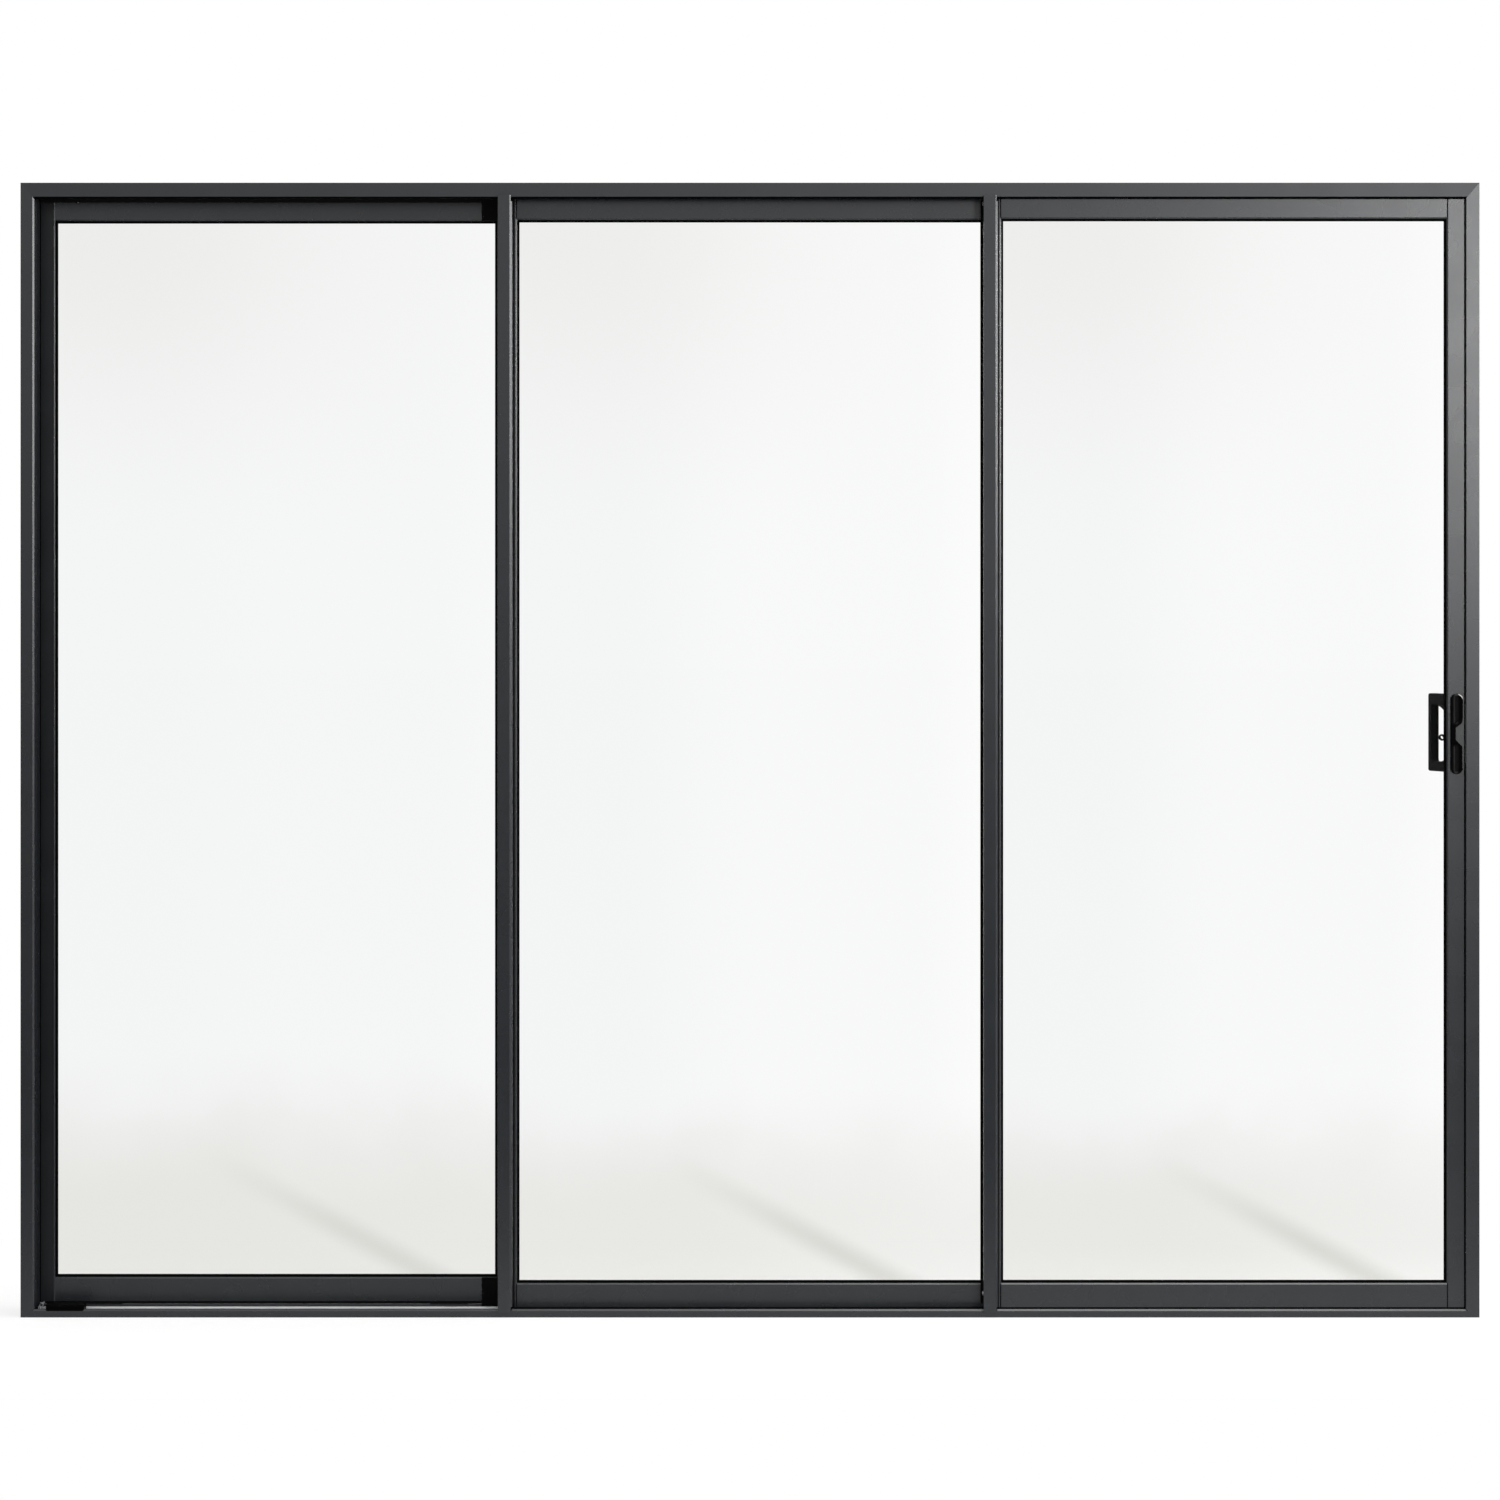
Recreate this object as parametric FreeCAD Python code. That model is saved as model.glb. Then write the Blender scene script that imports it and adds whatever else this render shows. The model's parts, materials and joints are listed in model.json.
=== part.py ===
import FreeCAD, Part
import math
import os

# Three-panel sliding patio door in millimetres.
# +X runs to the right seen from outside, +Y to the inside, +Z up.
# The origin is the centre of the sill's underside.

# Outer frame
FRAME_WIDTH = 2700.0
FRAME_HEIGHT = 2100.0
FRAME_DEPTH = 110.0
JAMB_WIDTH = 25.0
HEAD_DROP = 29.5
SILL_LIP = 15.0
LIP_THICK = 5.0
EDGE_BEVEL = 3.0
HEAD_BEVEL = 4.0
CLOSING_BEVEL = 1.0
FRAME_WALL = 2.2
SILL_FLOOR = 6.0
HEAD_ROOF = 8.0
FIN_THICK = 2.0
FIN_DROP = 20.0
POCKET_DEPTHS = {"front": 3.5, "middle": 9.0, "rear": 9.0}
POCKET_PLAY = 4.8

# Tracks, front to back
TRACK_PITCH = 34.0
TRACK_RIB_WIDTH = 3.0
TRACK_TOP = 11.5
CAP_THICK = 0.8
CAP_SKIRT = 3.5

# Panels
PANEL_THICK = 22.0
PANEL_BOTTOMS = {"front": 17.5, "middle": 12.0, "rear": 18.0}
TOP_PLAY = 5.0
PANEL_WALL = 2.4
TOP_RAIL = 53.0
BOTTOM_RAIL = 44.5
STILE_WIDTH = 32.0
INTERLOCK_WIDTH = 33.0
FIXED_MEETING_WIDTH = 39.5
RAIL_BEVEL = 2.6
SLOT_WIDTH = 12.0
SLOT_DEPTH = 10.0
GLASS_THICK = 6.0
GLASS_BITE = 8.0
GASKET_SHOW = 4.0
ROLLER_BAY = 22.0
FOOT_NOTCH_WIDTH = 14.0
FOOT_NOTCH_HEIGHT = 8.0
GUIDE_LENGTH = 60.0
GUIDE_INSET = 60.0
GUIDE_DROP = 6.0
GUIDE_CAP = 2.0
GUIDE_PLAY = 0.3

# Where each panel starts and ends along the frame
LEFT_BAY = 858.7
RIGHT_PANEL_WIDTH = 890.6
STILE_REVEAL = 2.0
PANEL_LAP = 33.6

# Interlock covers and hooks
COVER_PROUD = 7.0
COVER_FACE = 21.6
COVER_BEVEL = 4.3
COVER_WALL = 2.0
COVER_LAP = 2.5
COVER_CLEAR = 5.0
HOOK_WALL = 1.5
HOOK_REACH = 7.5
HOOK_FOOT = 5.0
HOOK_GAP = 1.5
HOOK_INSET = 10.0

# Rollers
WHEEL_RADIUS = 10.0
WHEEL_WIDTH = 7.0
WHEEL_GROOVE = 1.5
WHEEL_PLAY = 0.3
AXLE_RADIUS = 2.5
BORE_PLAY = 0.1
CARRIAGE_LENGTH = 70.0
CARRIAGE_CHEEK = 3.0
CARRIAGE_INSET = 90.0
CARRIAGE_FOOT = 1.5

# Stop block on the left end of the sill
STOP_INSET = 21.0
STOP_LENGTH = 71.0
STOP_TOP = 23.0
STOP_BACK = 14.0
STOP_ROUND = 3.0

# Fixing holes in the jambs
FIXING_RADIUS = 3.0
FIXING_OUTER = 1700.0
FIXING_INNER = 566.0

# Outside pull on the closing stile
HANDLE_HEIGHT = 1080.0
PULL_INSET = 3.0
PULL_WIDTH = 22.0
PULL_LENGTH = 149.0
PULL_THICK = 7.0
PULL_EDGE = 1.5
SCOOP_RADIUS = 13.0
SCOOP_DEEP = 3.5
SCOOP_END = 4.0
SCOOP_SIDE = 3.5
SCOOP_LIP = 1.6
SCOOP_CORNER = 3.0
BITE_DEPTH = 13.3
BITE_TOP = 29.0
BITE_TURN = 20.0
BITE_FLOOR = 11.4
BITE_LOW = 23.4
BITE_STRIP = 1.1
BITE_STRIP_END = 64.0
BITE_SHOULDER = 10.0
BITE_CORNER = 3.0

# Inside pull: a leaning D on a plate
PLATE_WIDTH = 25.0
PLATE_LENGTH = 156.0
PLATE_THICK = 3.0
PLATE_INSET = 5.0
PLATE_CORNER = 4.0
GRIP_LEAN = 29.0
GRIP_REACH = 66.0
GRIP_LENGTH = 145.0
GRIP_WIDTH = 17.0
GRIP_DEEP = 11.5
GRIP_FILLET = 3.0
GRIP_CORNER = 4.0
GRIP_ROOT = 5.0
ARM_TOP = 20.0
ARM_BOTTOM = 18.0
ARM_FLARE_TOP = 54.0
ARM_FLARE_BOTTOM = 38.0

# Snib lever on the inside plate
SNIB_RADIUS = 7.0
SNIB_THICK = 5.0
SNIB_REACH = 21.5
SNIB_DROP = 22.0
SNIB_RING_OUTER = 6.1
SNIB_HOLE_WIDTH = 3.5
SNIB_HOLE_LENGTH = 6.5
SNIB_HOLE_TILT = 35.0
SNIB_ARM = 5.0
SNIB_SEAT = 0.3

# Lock and keeper
LOCK_HEIGHT = 150.0
LOCK_WIDTH = 14.0
LOCK_DEPTH = 15.0
LOCK_FACE_HEIGHT = 190.0
LOCK_FACE_WIDTH = 17.0
LOCK_FACE_THICK = 2.4
KEEPER_HEIGHT = 110.0
KEEPER_WIDTH = 18.0
KEEPER_SLOT = 7.0
KEEPER_SLOT_HEIGHT = 34.0

# Pile seal between closing stile and jamb
SEAL_WIDTH = 5.0
SEAL_PLAY = 0.3

HALF_W = FRAME_WIDTH / 2
HALF_D = FRAME_DEPTH / 2
FRONT = -HALF_D
TRACKS = {"front": -TRACK_PITCH, "middle": 0.0, "rear": TRACK_PITCH}
HEAD_LOW = FRAME_HEIGHT - HEAD_DROP
PANEL_TOP = FRAME_HEIGHT - HEAD_ROOF - TOP_PLAY
JAMB_INNER = HALF_W - JAMB_WIDTH
LEFT_LEFT = -JAMB_INNER - POCKET_DEPTHS["rear"] + POCKET_PLAY
MIDDLE_LEFT = -JAMB_INNER + LEFT_BAY
LEFT_RIGHT = MIDDLE_LEFT + PANEL_LAP
RIGHT_RIGHT = JAMB_INNER - STILE_REVEAL
RIGHT_LEFT = RIGHT_RIGHT - RIGHT_PANEL_WIDTH
MIDDLE_RIGHT = RIGHT_LEFT + PANEL_LAP
COVER_WIDTH = COVER_FACE + COVER_BEVEL
STILE_LEFT = RIGHT_RIGHT - STILE_WIDTH
CLOSING_WALL = JAMB_INNER + POCKET_DEPTHS["front"]
AXLE_HEIGHT = TRACK_TOP + WHEEL_PLAY + WHEEL_RADIUS - WHEEL_GROOVE
PLATE_CENTRE = RIGHT_RIGHT - PLATE_INSET - PLATE_WIDTH / 2
PLATE_FACE = -TRACK_PITCH + PANEL_THICK / 2 + PLATE_THICK


def point(x, y, z):
    return FreeCAD.Vector(x, y, z)


def prism(points, along):
    """Closed polygon of 3-D points, carried along a vector."""
    return Part.Face(Part.makePolygon(points + [points[0]])).extrude(along)


def bar_x(outline, x0, x1):
    """Outline of (y, z) corners carried from x0 to x1."""
    return prism([point(x0, y, z) for y, z in outline], point(x1 - x0, 0, 0))


def bar_y(outline, y0, y1):
    """Outline of (x, z) corners carried from y0 to y1."""
    return prism([point(x, y0, z) for x, z in outline], point(0, y1 - y0, 0))


def bar_z(outline, z0, z1):
    """Outline of (x, y) corners carried from z0 to z1."""
    return prism([point(x, y, z0) for x, y in outline], point(0, 0, z1 - z0))


def block(low, high):
    """Box between two opposite corners."""
    size = [b - a for a, b in zip(low, high)]
    return Part.makeBox(*size, point(*low))


def rod(radius, start, length, axis):
    return Part.makeCylinder(radius, length, start, axis)


def obround(width, length, cx, cz, y0, y1):
    """Upright slot shape with round ends, from y0 to y1."""
    r = width / 2
    straight = length / 2 - r
    body = block((cx - r, y0, cz - straight), (cx + r, y1, cz + straight))
    for z in (cz - straight, cz + straight):
        body = body.fuse(rod(r, point(cx, y0, z), y1 - y0, point(0, 1, 0)))
    return body.removeSplitter()


def rounded_face(corners, place):
    """Face inside a closed outline of (u, v, radius) corners; each corner becomes an arc of its radius."""
    spots = [point(u, v, 0) for u, v, _ in corners]
    arcs = []
    for i, (_, _, radius) in enumerate(corners):
        back = (spots[i - 1] - spots[i]).normalize()
        ahead = (spots[(i + 1) % len(spots)] - spots[i]).normalize()
        half = back.getAngle(ahead) / 2
        centre_way = (back + ahead).normalize()
        start = spots[i] + back * (radius / math.tan(half))
        end = spots[i] + ahead * (radius / math.tan(half))
        crown = spots[i] + centre_way * (radius / math.sin(half) - radius)
        arcs.append([place(spot.x, spot.y) for spot in (start, crown, end)])
    edges = []
    for i, (start, crown, end) in enumerate(arcs):
        if corners[i][2] > 0:
            edges.append(Part.Arc(start, crown, end).toShape())
        edges.append(Part.makeLine(end, arcs[(i + 1) % len(arcs)][0]))
    return Part.Face(Part.Wire(edges))


def save(name, shapes):
    solids = shapes if isinstance(shapes, list) else [shapes]
    shape = solids[0] if len(solids) == 1 else Part.makeCompound(solids)
    shape.exportStep(os.path.join("parts", name + ".step"))


def lip_outline(side, edge, root, bevel):
    """Lip of the head or sill: a flat strip with the outer corner of its free edge bevelled.

    side is the outside plane, root and edge the heights it runs between."""
    back = side + math.copysign(LIP_THICK, -side)
    rise = math.copysign(bevel, edge - root)
    return [(side, root), (side, edge - rise), (side + math.copysign(bevel, -side), edge),
            (back, edge), (back, root)]


def mitre(member):
    """Limits a frame member to its own side of the corner mitres."""
    inner_x, low, high = JAMB_INNER, SILL_LIP, HEAD_LOW
    outlines = {
        "sill": [(-HALF_W, 0), (HALF_W, 0), (inner_x, low), (-inner_x, low)],
        "head": [(-HALF_W, FRAME_HEIGHT), (-inner_x, high), (inner_x, high), (HALF_W, FRAME_HEIGHT)],
        "left": [(-HALF_W, 0), (-inner_x, low), (-inner_x, high), (-HALF_W, FRAME_HEIGHT)],
        "right": [(HALF_W, 0), (HALF_W, FRAME_HEIGHT), (inner_x, high), (inner_x, low)],
    }
    return bar_y(outlines[member], FRONT, HALF_D)


def fuse_all(shapes):
    result = shapes[0].multiFuse(shapes[1:])
    return result.removeSplitter()


def sill():
    """Hollow floor with a lip at each side and one rib under each track."""
    floor = block((-HALF_W, FRONT, 0), (HALF_W, HALF_D, SILL_FLOOR))
    shapes = [floor]
    for side in (FRONT, HALF_D):
        shapes.append(bar_x(lip_outline(side, SILL_LIP, 0, EDGE_BEVEL), -HALF_W, HALF_W))
    for y in TRACKS.values():
        half = TRACK_RIB_WIDTH / 2
        shapes.append(block((-HALF_W, y - half, 0), (HALF_W, y + half, TRACK_TOP - CAP_THICK)))
    body = fuse_all(shapes)
    edges = [FRONT + LIP_THICK] + [y for t in TRACKS.values() for y in (t, t)] + [HALF_D - LIP_THICK]
    chambers = []
    for near, far in zip(edges[::2], edges[1::2]):
        near_wall = 0 if near == edges[0] else FRAME_WALL / 2
        far_wall = 0 if far == edges[-1] else FRAME_WALL / 2
        chambers.append(block((-HALF_W, near + near_wall, FRAME_WALL),
                              (HALF_W, far - far_wall, SILL_FLOOR - FRAME_WALL)))
    for chamber in chambers:
        body = body.cut(chamber)
    return body.common(mitre("sill"))


def head():
    """Hollow roof with a lip at each side and a fin between the tracks."""
    roof = FRAME_HEIGHT - HEAD_ROOF
    shapes = [block((-HALF_W, FRONT, roof), (HALF_W, HALF_D, FRAME_HEIGHT))]
    for side in (FRONT, HALF_D):
        shapes.append(bar_x(lip_outline(side, HEAD_LOW, FRAME_HEIGHT, HEAD_BEVEL), -HALF_W, HALF_W))
    for y in (-TRACK_PITCH / 2, TRACK_PITCH / 2):
        half = FIN_THICK / 2
        low = FRAME_HEIGHT - FIN_DROP
        shapes.append(block((-HALF_W, y - half, low), (HALF_W, y + half, FRAME_HEIGHT)))
    body = fuse_all(shapes)
    for near, far in pocket_spans().values():
        body = body.cut(block((-HALF_W, near, roof + FRAME_WALL), (HALF_W, far, FRAME_HEIGHT - FRAME_WALL)))
    return body.common(mitre("head"))


def pocket_spans():
    """Depth spans of the three channels between the lips and the fins, front to back."""
    half = FIN_THICK / 2
    edges = [FRONT + LIP_THICK]
    for y in (-TRACK_PITCH / 2, TRACK_PITCH / 2):
        edges += [y - half, y + half]
    edges.append(HALF_D - LIP_THICK)
    return dict(zip(TRACKS, zip(edges[::2], edges[1::2])))


def jamb_section(bevel):
    """Right-hand jamb's (x, y) outline: bevelled lips at both sides and a pocket at each track."""
    outline = [(HALF_W, FRONT), (JAMB_INNER + bevel, FRONT), (JAMB_INNER, FRONT + bevel)]
    for track, (near, far) in pocket_spans().items():
        bottom = JAMB_INNER + POCKET_DEPTHS[track]
        outline += [(JAMB_INNER, near), (bottom, near), (bottom, far), (JAMB_INNER, far)]
    return outline + [(JAMB_INNER, HALF_D - bevel), (JAMB_INNER + bevel, HALF_D), (HALF_W, HALF_D)]


def jamb(side, bevel):
    """Hollow upright with fixing holes; side is -1 for the left one and 1 for the right one."""
    body = bar_z([(side * x, y) for x, y in jamb_section(bevel)], 0, FRAME_HEIGHT)
    outer = HALF_W - FRAME_WALL
    for track, (near, far) in pocket_spans().items():
        inner = JAMB_INNER + POCKET_DEPTHS[track] + FRAME_WALL
        xs = sorted((side * inner, side * outer))
        body = body.cut(block((xs[0], near, 0), (xs[1], far, FRAME_HEIGHT)))
    for spacing in (FIXING_OUTER, FIXING_INNER):
        for sign in (-1, 1):
            z = FRAME_HEIGHT / 2 + sign * spacing / 2
            body = body.cut(rod(FIXING_RADIUS, point(side * HALF_W, TRACKS["middle"], z), JAMB_WIDTH,
                                point(-side, 0, 0)))
    return body.common(mitre("left" if side < 0 else "right"))


def track_cap(y):
    """Folded bright strip over a rib of the sill."""
    half = TRACK_RIB_WIDTH / 2
    x = JAMB_INNER
    outer = [(y - half - CAP_THICK, TRACK_TOP - CAP_SKIRT), (y - half - CAP_THICK, TRACK_TOP),
             (y + half + CAP_THICK, TRACK_TOP), (y + half + CAP_THICK, TRACK_TOP - CAP_SKIRT),
             (y + half, TRACK_TOP - CAP_SKIRT), (y + half, TRACK_TOP - CAP_THICK),
             (y - half, TRACK_TOP - CAP_THICK), (y - half, TRACK_TOP - CAP_SKIRT)]
    return bar_x(outer, -x, x)


def stop_block():
    """Moulded stop that sits in the front channel and folds over the sill's lip."""
    lip = FRONT + LIP_THICK
    rib = TRACKS["front"] + TRACK_RIB_WIDTH / 2 + CAP_THICK
    rib_near = TRACKS["front"] - TRACK_RIB_WIDTH / 2 - CAP_THICK
    back = rib + STOP_BACK
    corners = [(FRONT, SILL_LIP - EDGE_BEVEL, 0), (FRONT, STOP_TOP, STOP_ROUND), (back, STOP_TOP, STOP_ROUND),
               (back, SILL_FLOOR, 0), (rib, SILL_FLOOR, 0), (rib, TRACK_TOP, 0), (rib_near, TRACK_TOP, 0),
               (rib_near, SILL_FLOOR, 0), (lip, SILL_FLOOR, 0), (lip, SILL_LIP, 0),
               (FRONT + EDGE_BEVEL, SILL_LIP, 0)]
    left = -JAMB_INNER + STOP_INSET
    right = left + STOP_LENGTH
    body = rounded_face(corners, lambda y, z: point(left, y, z)).extrude(point(STOP_LENGTH, 0, 0))
    plan = [(left, FRONT, STOP_ROUND), (right, FRONT, STOP_ROUND), (right, back, STOP_ROUND),
            (left, back, STOP_ROUND)]
    return body.common(rounded_face(plan, lambda x, y: point(x, y, 0)).extrude(point(0, 0, STOP_TOP)))


def keeper_recess():
    """Cut-out in the closing jamb's pocket wall, which the keeper fills flush."""
    y = TRACKS["front"]
    half = KEEPER_HEIGHT / 2
    return block((CLOSING_WALL, y - KEEPER_WIDTH / 2, HANDLE_HEIGHT - half),
                 (CLOSING_WALL + FRAME_WALL, y + KEEPER_WIDTH / 2, HANDLE_HEIGHT + half))


def keeper():
    """Flush plate in the closing jamb, with the slot that the lock's hook enters."""
    y = TRACKS["front"]
    half = KEEPER_SLOT_HEIGHT / 2
    return keeper_recess().cut(block((CLOSING_WALL, y - KEEPER_SLOT / 2, HANDLE_HEIGHT - half),
                                     (CLOSING_WALL + FRAME_WALL, y + KEEPER_SLOT / 2, HANDLE_HEIGHT + half)))


def jamb_seal():
    """Pile strips that close the gap beside the closing stile, above and below the keeper."""
    y = TRACKS["front"]
    half = KEEPER_HEIGHT / 2
    spans = [(SILL_LIP, HANDLE_HEIGHT - half), (HANDLE_HEIGHT + half, HEAD_LOW)]
    return [block((RIGHT_RIGHT + SEAL_PLAY, y - SEAL_WIDTH / 2, z0), (CLOSING_WALL, y + SEAL_WIDTH / 2, z1))
            for z0, z1 in spans]


def slot_cut(x0, x1, y, z0, z1):
    """Glazing slot's space, centred on the panel's thickness."""
    return block((x0, y - SLOT_WIDTH / 2, z0), (x1, y + SLOT_WIDTH / 2, z1))


def bottom_rail(x0, x1, y, low):
    """Rail with the roller bay open underneath and the glazing slot on top."""
    half = PANEL_THICK / 2
    top = low + BOTTOM_RAIL
    outline = [(y - half, low), (y - half, top - RAIL_BEVEL), (y - half + RAIL_BEVEL, top),
               (y + half - RAIL_BEVEL, top), (y + half, top - RAIL_BEVEL), (y + half, low)]
    body = bar_x(outline, x0, x1)
    inner = half - PANEL_WALL
    bay = low + ROLLER_BAY
    body = body.cut(block((x0, y - inner, low), (x1, y + inner, bay)))
    body = body.cut(block((x0, y - inner, bay + PANEL_WALL), (x1, y + inner, top - SLOT_DEPTH - PANEL_WALL)))
    return body.cut(slot_cut(x0, x1, y, top - SLOT_DEPTH, top))


def top_rail(x0, x1, y):
    """Hollow rail with the glazing slot underneath."""
    half = PANEL_THICK / 2
    low = PANEL_TOP - TOP_RAIL
    outline = [(y - half, PANEL_TOP), (y - half, low + RAIL_BEVEL), (y - half + RAIL_BEVEL, low),
               (y + half - RAIL_BEVEL, low), (y + half, low + RAIL_BEVEL), (y + half, PANEL_TOP)]
    body = bar_x(outline, x0, x1)
    inner = half - PANEL_WALL
    body = body.cut(block((x0, y - inner, low + SLOT_DEPTH + PANEL_WALL),
                          (x1, y + inner, PANEL_TOP - PANEL_WALL)))
    return body.cut(slot_cut(x0, x1, y, low, low + SLOT_DEPTH))


def stile(x0, x1, y, low, glass_side):
    """Full-height hollow upright; glass_side is 1 where the glass is to its right."""
    half = PANEL_THICK / 2
    glass_x, far_x = (x1, x0) if glass_side > 0 else (x0, x1)
    inward = -glass_side
    outline = [(far_x, y - half), (far_x, y + half), (glass_x + inward * RAIL_BEVEL, y + half),
               (glass_x, y + half - RAIL_BEVEL), (glass_x, y - half + RAIL_BEVEL),
               (glass_x + inward * RAIL_BEVEL, y - half)]
    body = bar_z(outline, low, PANEL_TOP)
    slot_end = glass_x + inward * SLOT_DEPTH
    z0 = low + BOTTOM_RAIL - SLOT_DEPTH
    z1 = PANEL_TOP - TOP_RAIL + SLOT_DEPTH
    body = body.cut(slot_cut(min(glass_x, slot_end), max(glass_x, slot_end), y, z0, z1))
    inner = half - PANEL_WALL
    chamber = sorted((slot_end + inward * PANEL_WALL, far_x - inward * PANEL_WALL))
    body = body.cut(block((chamber[0], y - inner, low), (chamber[1], y + inner, PANEL_TOP)))
    notch = FOOT_NOTCH_WIDTH / 2
    return body.cut(block((x0, y - notch, low), (x1, y + notch, low + FOOT_NOTCH_HEIGHT)))


def hook(x, y, way):
    """Hook strip of an interlock; way is 1 where it reaches to the inside and its foot to the right."""
    tip = y + way * HOOK_REACH
    foot = x + way * (HOOK_WALL + HOOK_FOOT)
    outline = [(x, y), (x, tip), (foot, tip), (foot, tip - way * HOOK_WALL),
               (x + way * HOOK_WALL, tip - way * HOOK_WALL), (x + way * HOOK_WALL, y)]
    return bar_z(outline, SILL_LIP + COVER_CLEAR, HEAD_LOW - COVER_CLEAR)


def hook_place(lap_left):
    """Places of the front panel's hook and the rear panel's hook where they lap."""
    near = lap_left + HOOK_INSET
    return near, near + HOOK_WALL + HOOK_FOOT + HOOK_GAP + HOOK_WALL


def glass(x0, x1, y, low, left_stile, right_stile):
    """Pane held in the slots of its rails and stiles."""
    half = GLASS_THICK / 2
    low = low + BOTTOM_RAIL - GLASS_BITE
    high = PANEL_TOP - TOP_RAIL + GLASS_BITE
    return block((x0 + left_stile - GLASS_BITE, y - half, low),
                 (x1 - right_stile + GLASS_BITE, y + half, high))


def gasket(x0, x1, y, low, left_stile, right_stile, pane):
    """Rubber channel round the pane, standing out of the slot by a thin line."""
    low = low + BOTTOM_RAIL
    high = PANEL_TOP - TOP_RAIL
    left, right = x0 + left_stile, x1 - right_stile
    half = SLOT_WIDTH / 2
    ring = block((left - SLOT_DEPTH, y - half, low - SLOT_DEPTH),
                 (right + SLOT_DEPTH, y + half, high + SLOT_DEPTH))
    ring = ring.cut(block((left + GASKET_SHOW, y - half, low + GASKET_SHOW),
                          (right - GASKET_SHOW, y + half, high - GASKET_SHOW)))
    return ring.cut(pane)


def cover(x0, y_seat):
    """Deep cap of an interlock stile, lapping in front of the frame's lips at both ends."""
    face = FRONT - COVER_PROUD
    z0, z1 = SILL_LIP + COVER_CLEAR, HEAD_LOW - COVER_CLEAR
    x1 = x0 + COVER_WIDTH
    bend = x0 + COVER_FACE
    outline = [(x0, y_seat), (x0, face), (bend, face), (x1, face + COVER_BEVEL), (x1, y_seat)]
    body = bar_z(outline, z0, z1)
    w = COVER_WALL
    inside = [(x0 + w, y_seat), (x0 + w, face + w), (bend - w / 2, face + w),
              (x1 - w, face + COVER_BEVEL + w / 2), (x1 - w, y_seat)]
    body = body.cut(bar_z(inside, z0, z1))
    bevelled = bend + w
    lap = [(x0, face + w), (x0, face), (bend, face), (bevelled, face + w)]
    low = bar_z(lap, SILL_LIP - EDGE_BEVEL - COVER_LAP, z0)
    high = bar_z(lap, z1, HEAD_LOW + HEAD_BEVEL + COVER_LAP)
    return fuse_all([body, low, high])


def roller_places(x0, x1):
    return [x0 + CARRIAGE_INSET, x1 - CARRIAGE_INSET]


def carriages(x0, x1, y, low):
    """Wheel carriages that sit in the roller bay of a bottom rail."""
    half = PANEL_THICK / 2 - PANEL_WALL
    top = low + ROLLER_BAY
    foot = AXLE_HEIGHT - AXLE_RADIUS - CARRIAGE_FOOT
    shapes = []
    for x in roller_places(x0, x1):
        run = CARRIAGE_LENGTH / 2
        body = block((x - run, y - half, foot), (x + run, y + half, top))
        body = body.cut(block((x - run, y - half + CARRIAGE_CHEEK, foot),
                              (x + run, y + half - CARRIAGE_CHEEK, top - CARRIAGE_CHEEK)))
        axle = rod(AXLE_RADIUS, point(x, y - half, AXLE_HEIGHT), 2 * half, point(0, 1, 0))
        shapes.append(body.fuse(axle).removeSplitter())
    return shapes


def wheels(x0, x1, y):
    """Grooved wheels that run on the track's cap."""
    half = WHEEL_WIDTH / 2
    groove = TRACK_RIB_WIDTH / 2 + CAP_THICK + WHEEL_PLAY
    rim = WHEEL_RADIUS - WHEEL_GROOVE
    bore = AXLE_RADIUS + BORE_PLAY
    shapes = []
    for x in roller_places(x0, x1):
        section = [point(x, y + run, AXLE_HEIGHT + height) for run, height in
                   ((-half, bore), (-half, WHEEL_RADIUS), (-groove, WHEEL_RADIUS), (-groove, rim),
                    (groove, rim), (groove, WHEEL_RADIUS), (half, WHEEL_RADIUS), (half, bore))]
        face = Part.Face(Part.makePolygon(section + [section[0]]))
        shapes.append(face.revolve(point(x, y, AXLE_HEIGHT), point(0, 1, 0), 360))
    return shapes


def track_seats(x0, x1, y, low):
    """Blocks that carry the fixed panel on the rear track."""
    half = PANEL_THICK / 2 - PANEL_WALL
    top = low + ROLLER_BAY
    return [block((x - CARRIAGE_LENGTH / 2, y - half, TRACK_TOP), (x + CARRIAGE_LENGTH / 2, y + half, top))
            for x in roller_places(x0, x1)]


def top_guides(x0, x1, track):
    """Nylon caps on a sliding panel's top rail that keep it upright between the head's fins."""
    near, far = pocket_spans()[track]
    half = PANEL_THICK / 2
    y = TRACKS[track]
    shapes = []
    for x in (x0 + GUIDE_INSET, x1 - GUIDE_INSET - GUIDE_LENGTH):
        body = block((x, near + GUIDE_PLAY, PANEL_TOP - GUIDE_DROP),
                     (x + GUIDE_LENGTH, far - GUIDE_PLAY, PANEL_TOP + GUIDE_CAP))
        shapes.append(body.cut(block((x, y - half, PANEL_TOP - GUIDE_DROP),
                                     (x + GUIDE_LENGTH, y + half, PANEL_TOP))))
    return shapes


def scoop(corners, cx, front):
    """Finger scoop: a hollow rounded across the pull, inside an outline of (x, z, radius) corners."""
    outline = rounded_face(corners, lambda x, z: point(x, front, z)).extrude(point(0, SCOOP_DEEP, 0))
    low = min(z for _, z, _ in corners)
    high = max(z for _, z, _ in corners)
    centre = point(cx, front + SCOOP_DEEP - SCOOP_RADIUS, low)
    return outline.common(rod(SCOOP_RADIUS, centre, high - low, point(0, 0, 1)))


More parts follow.
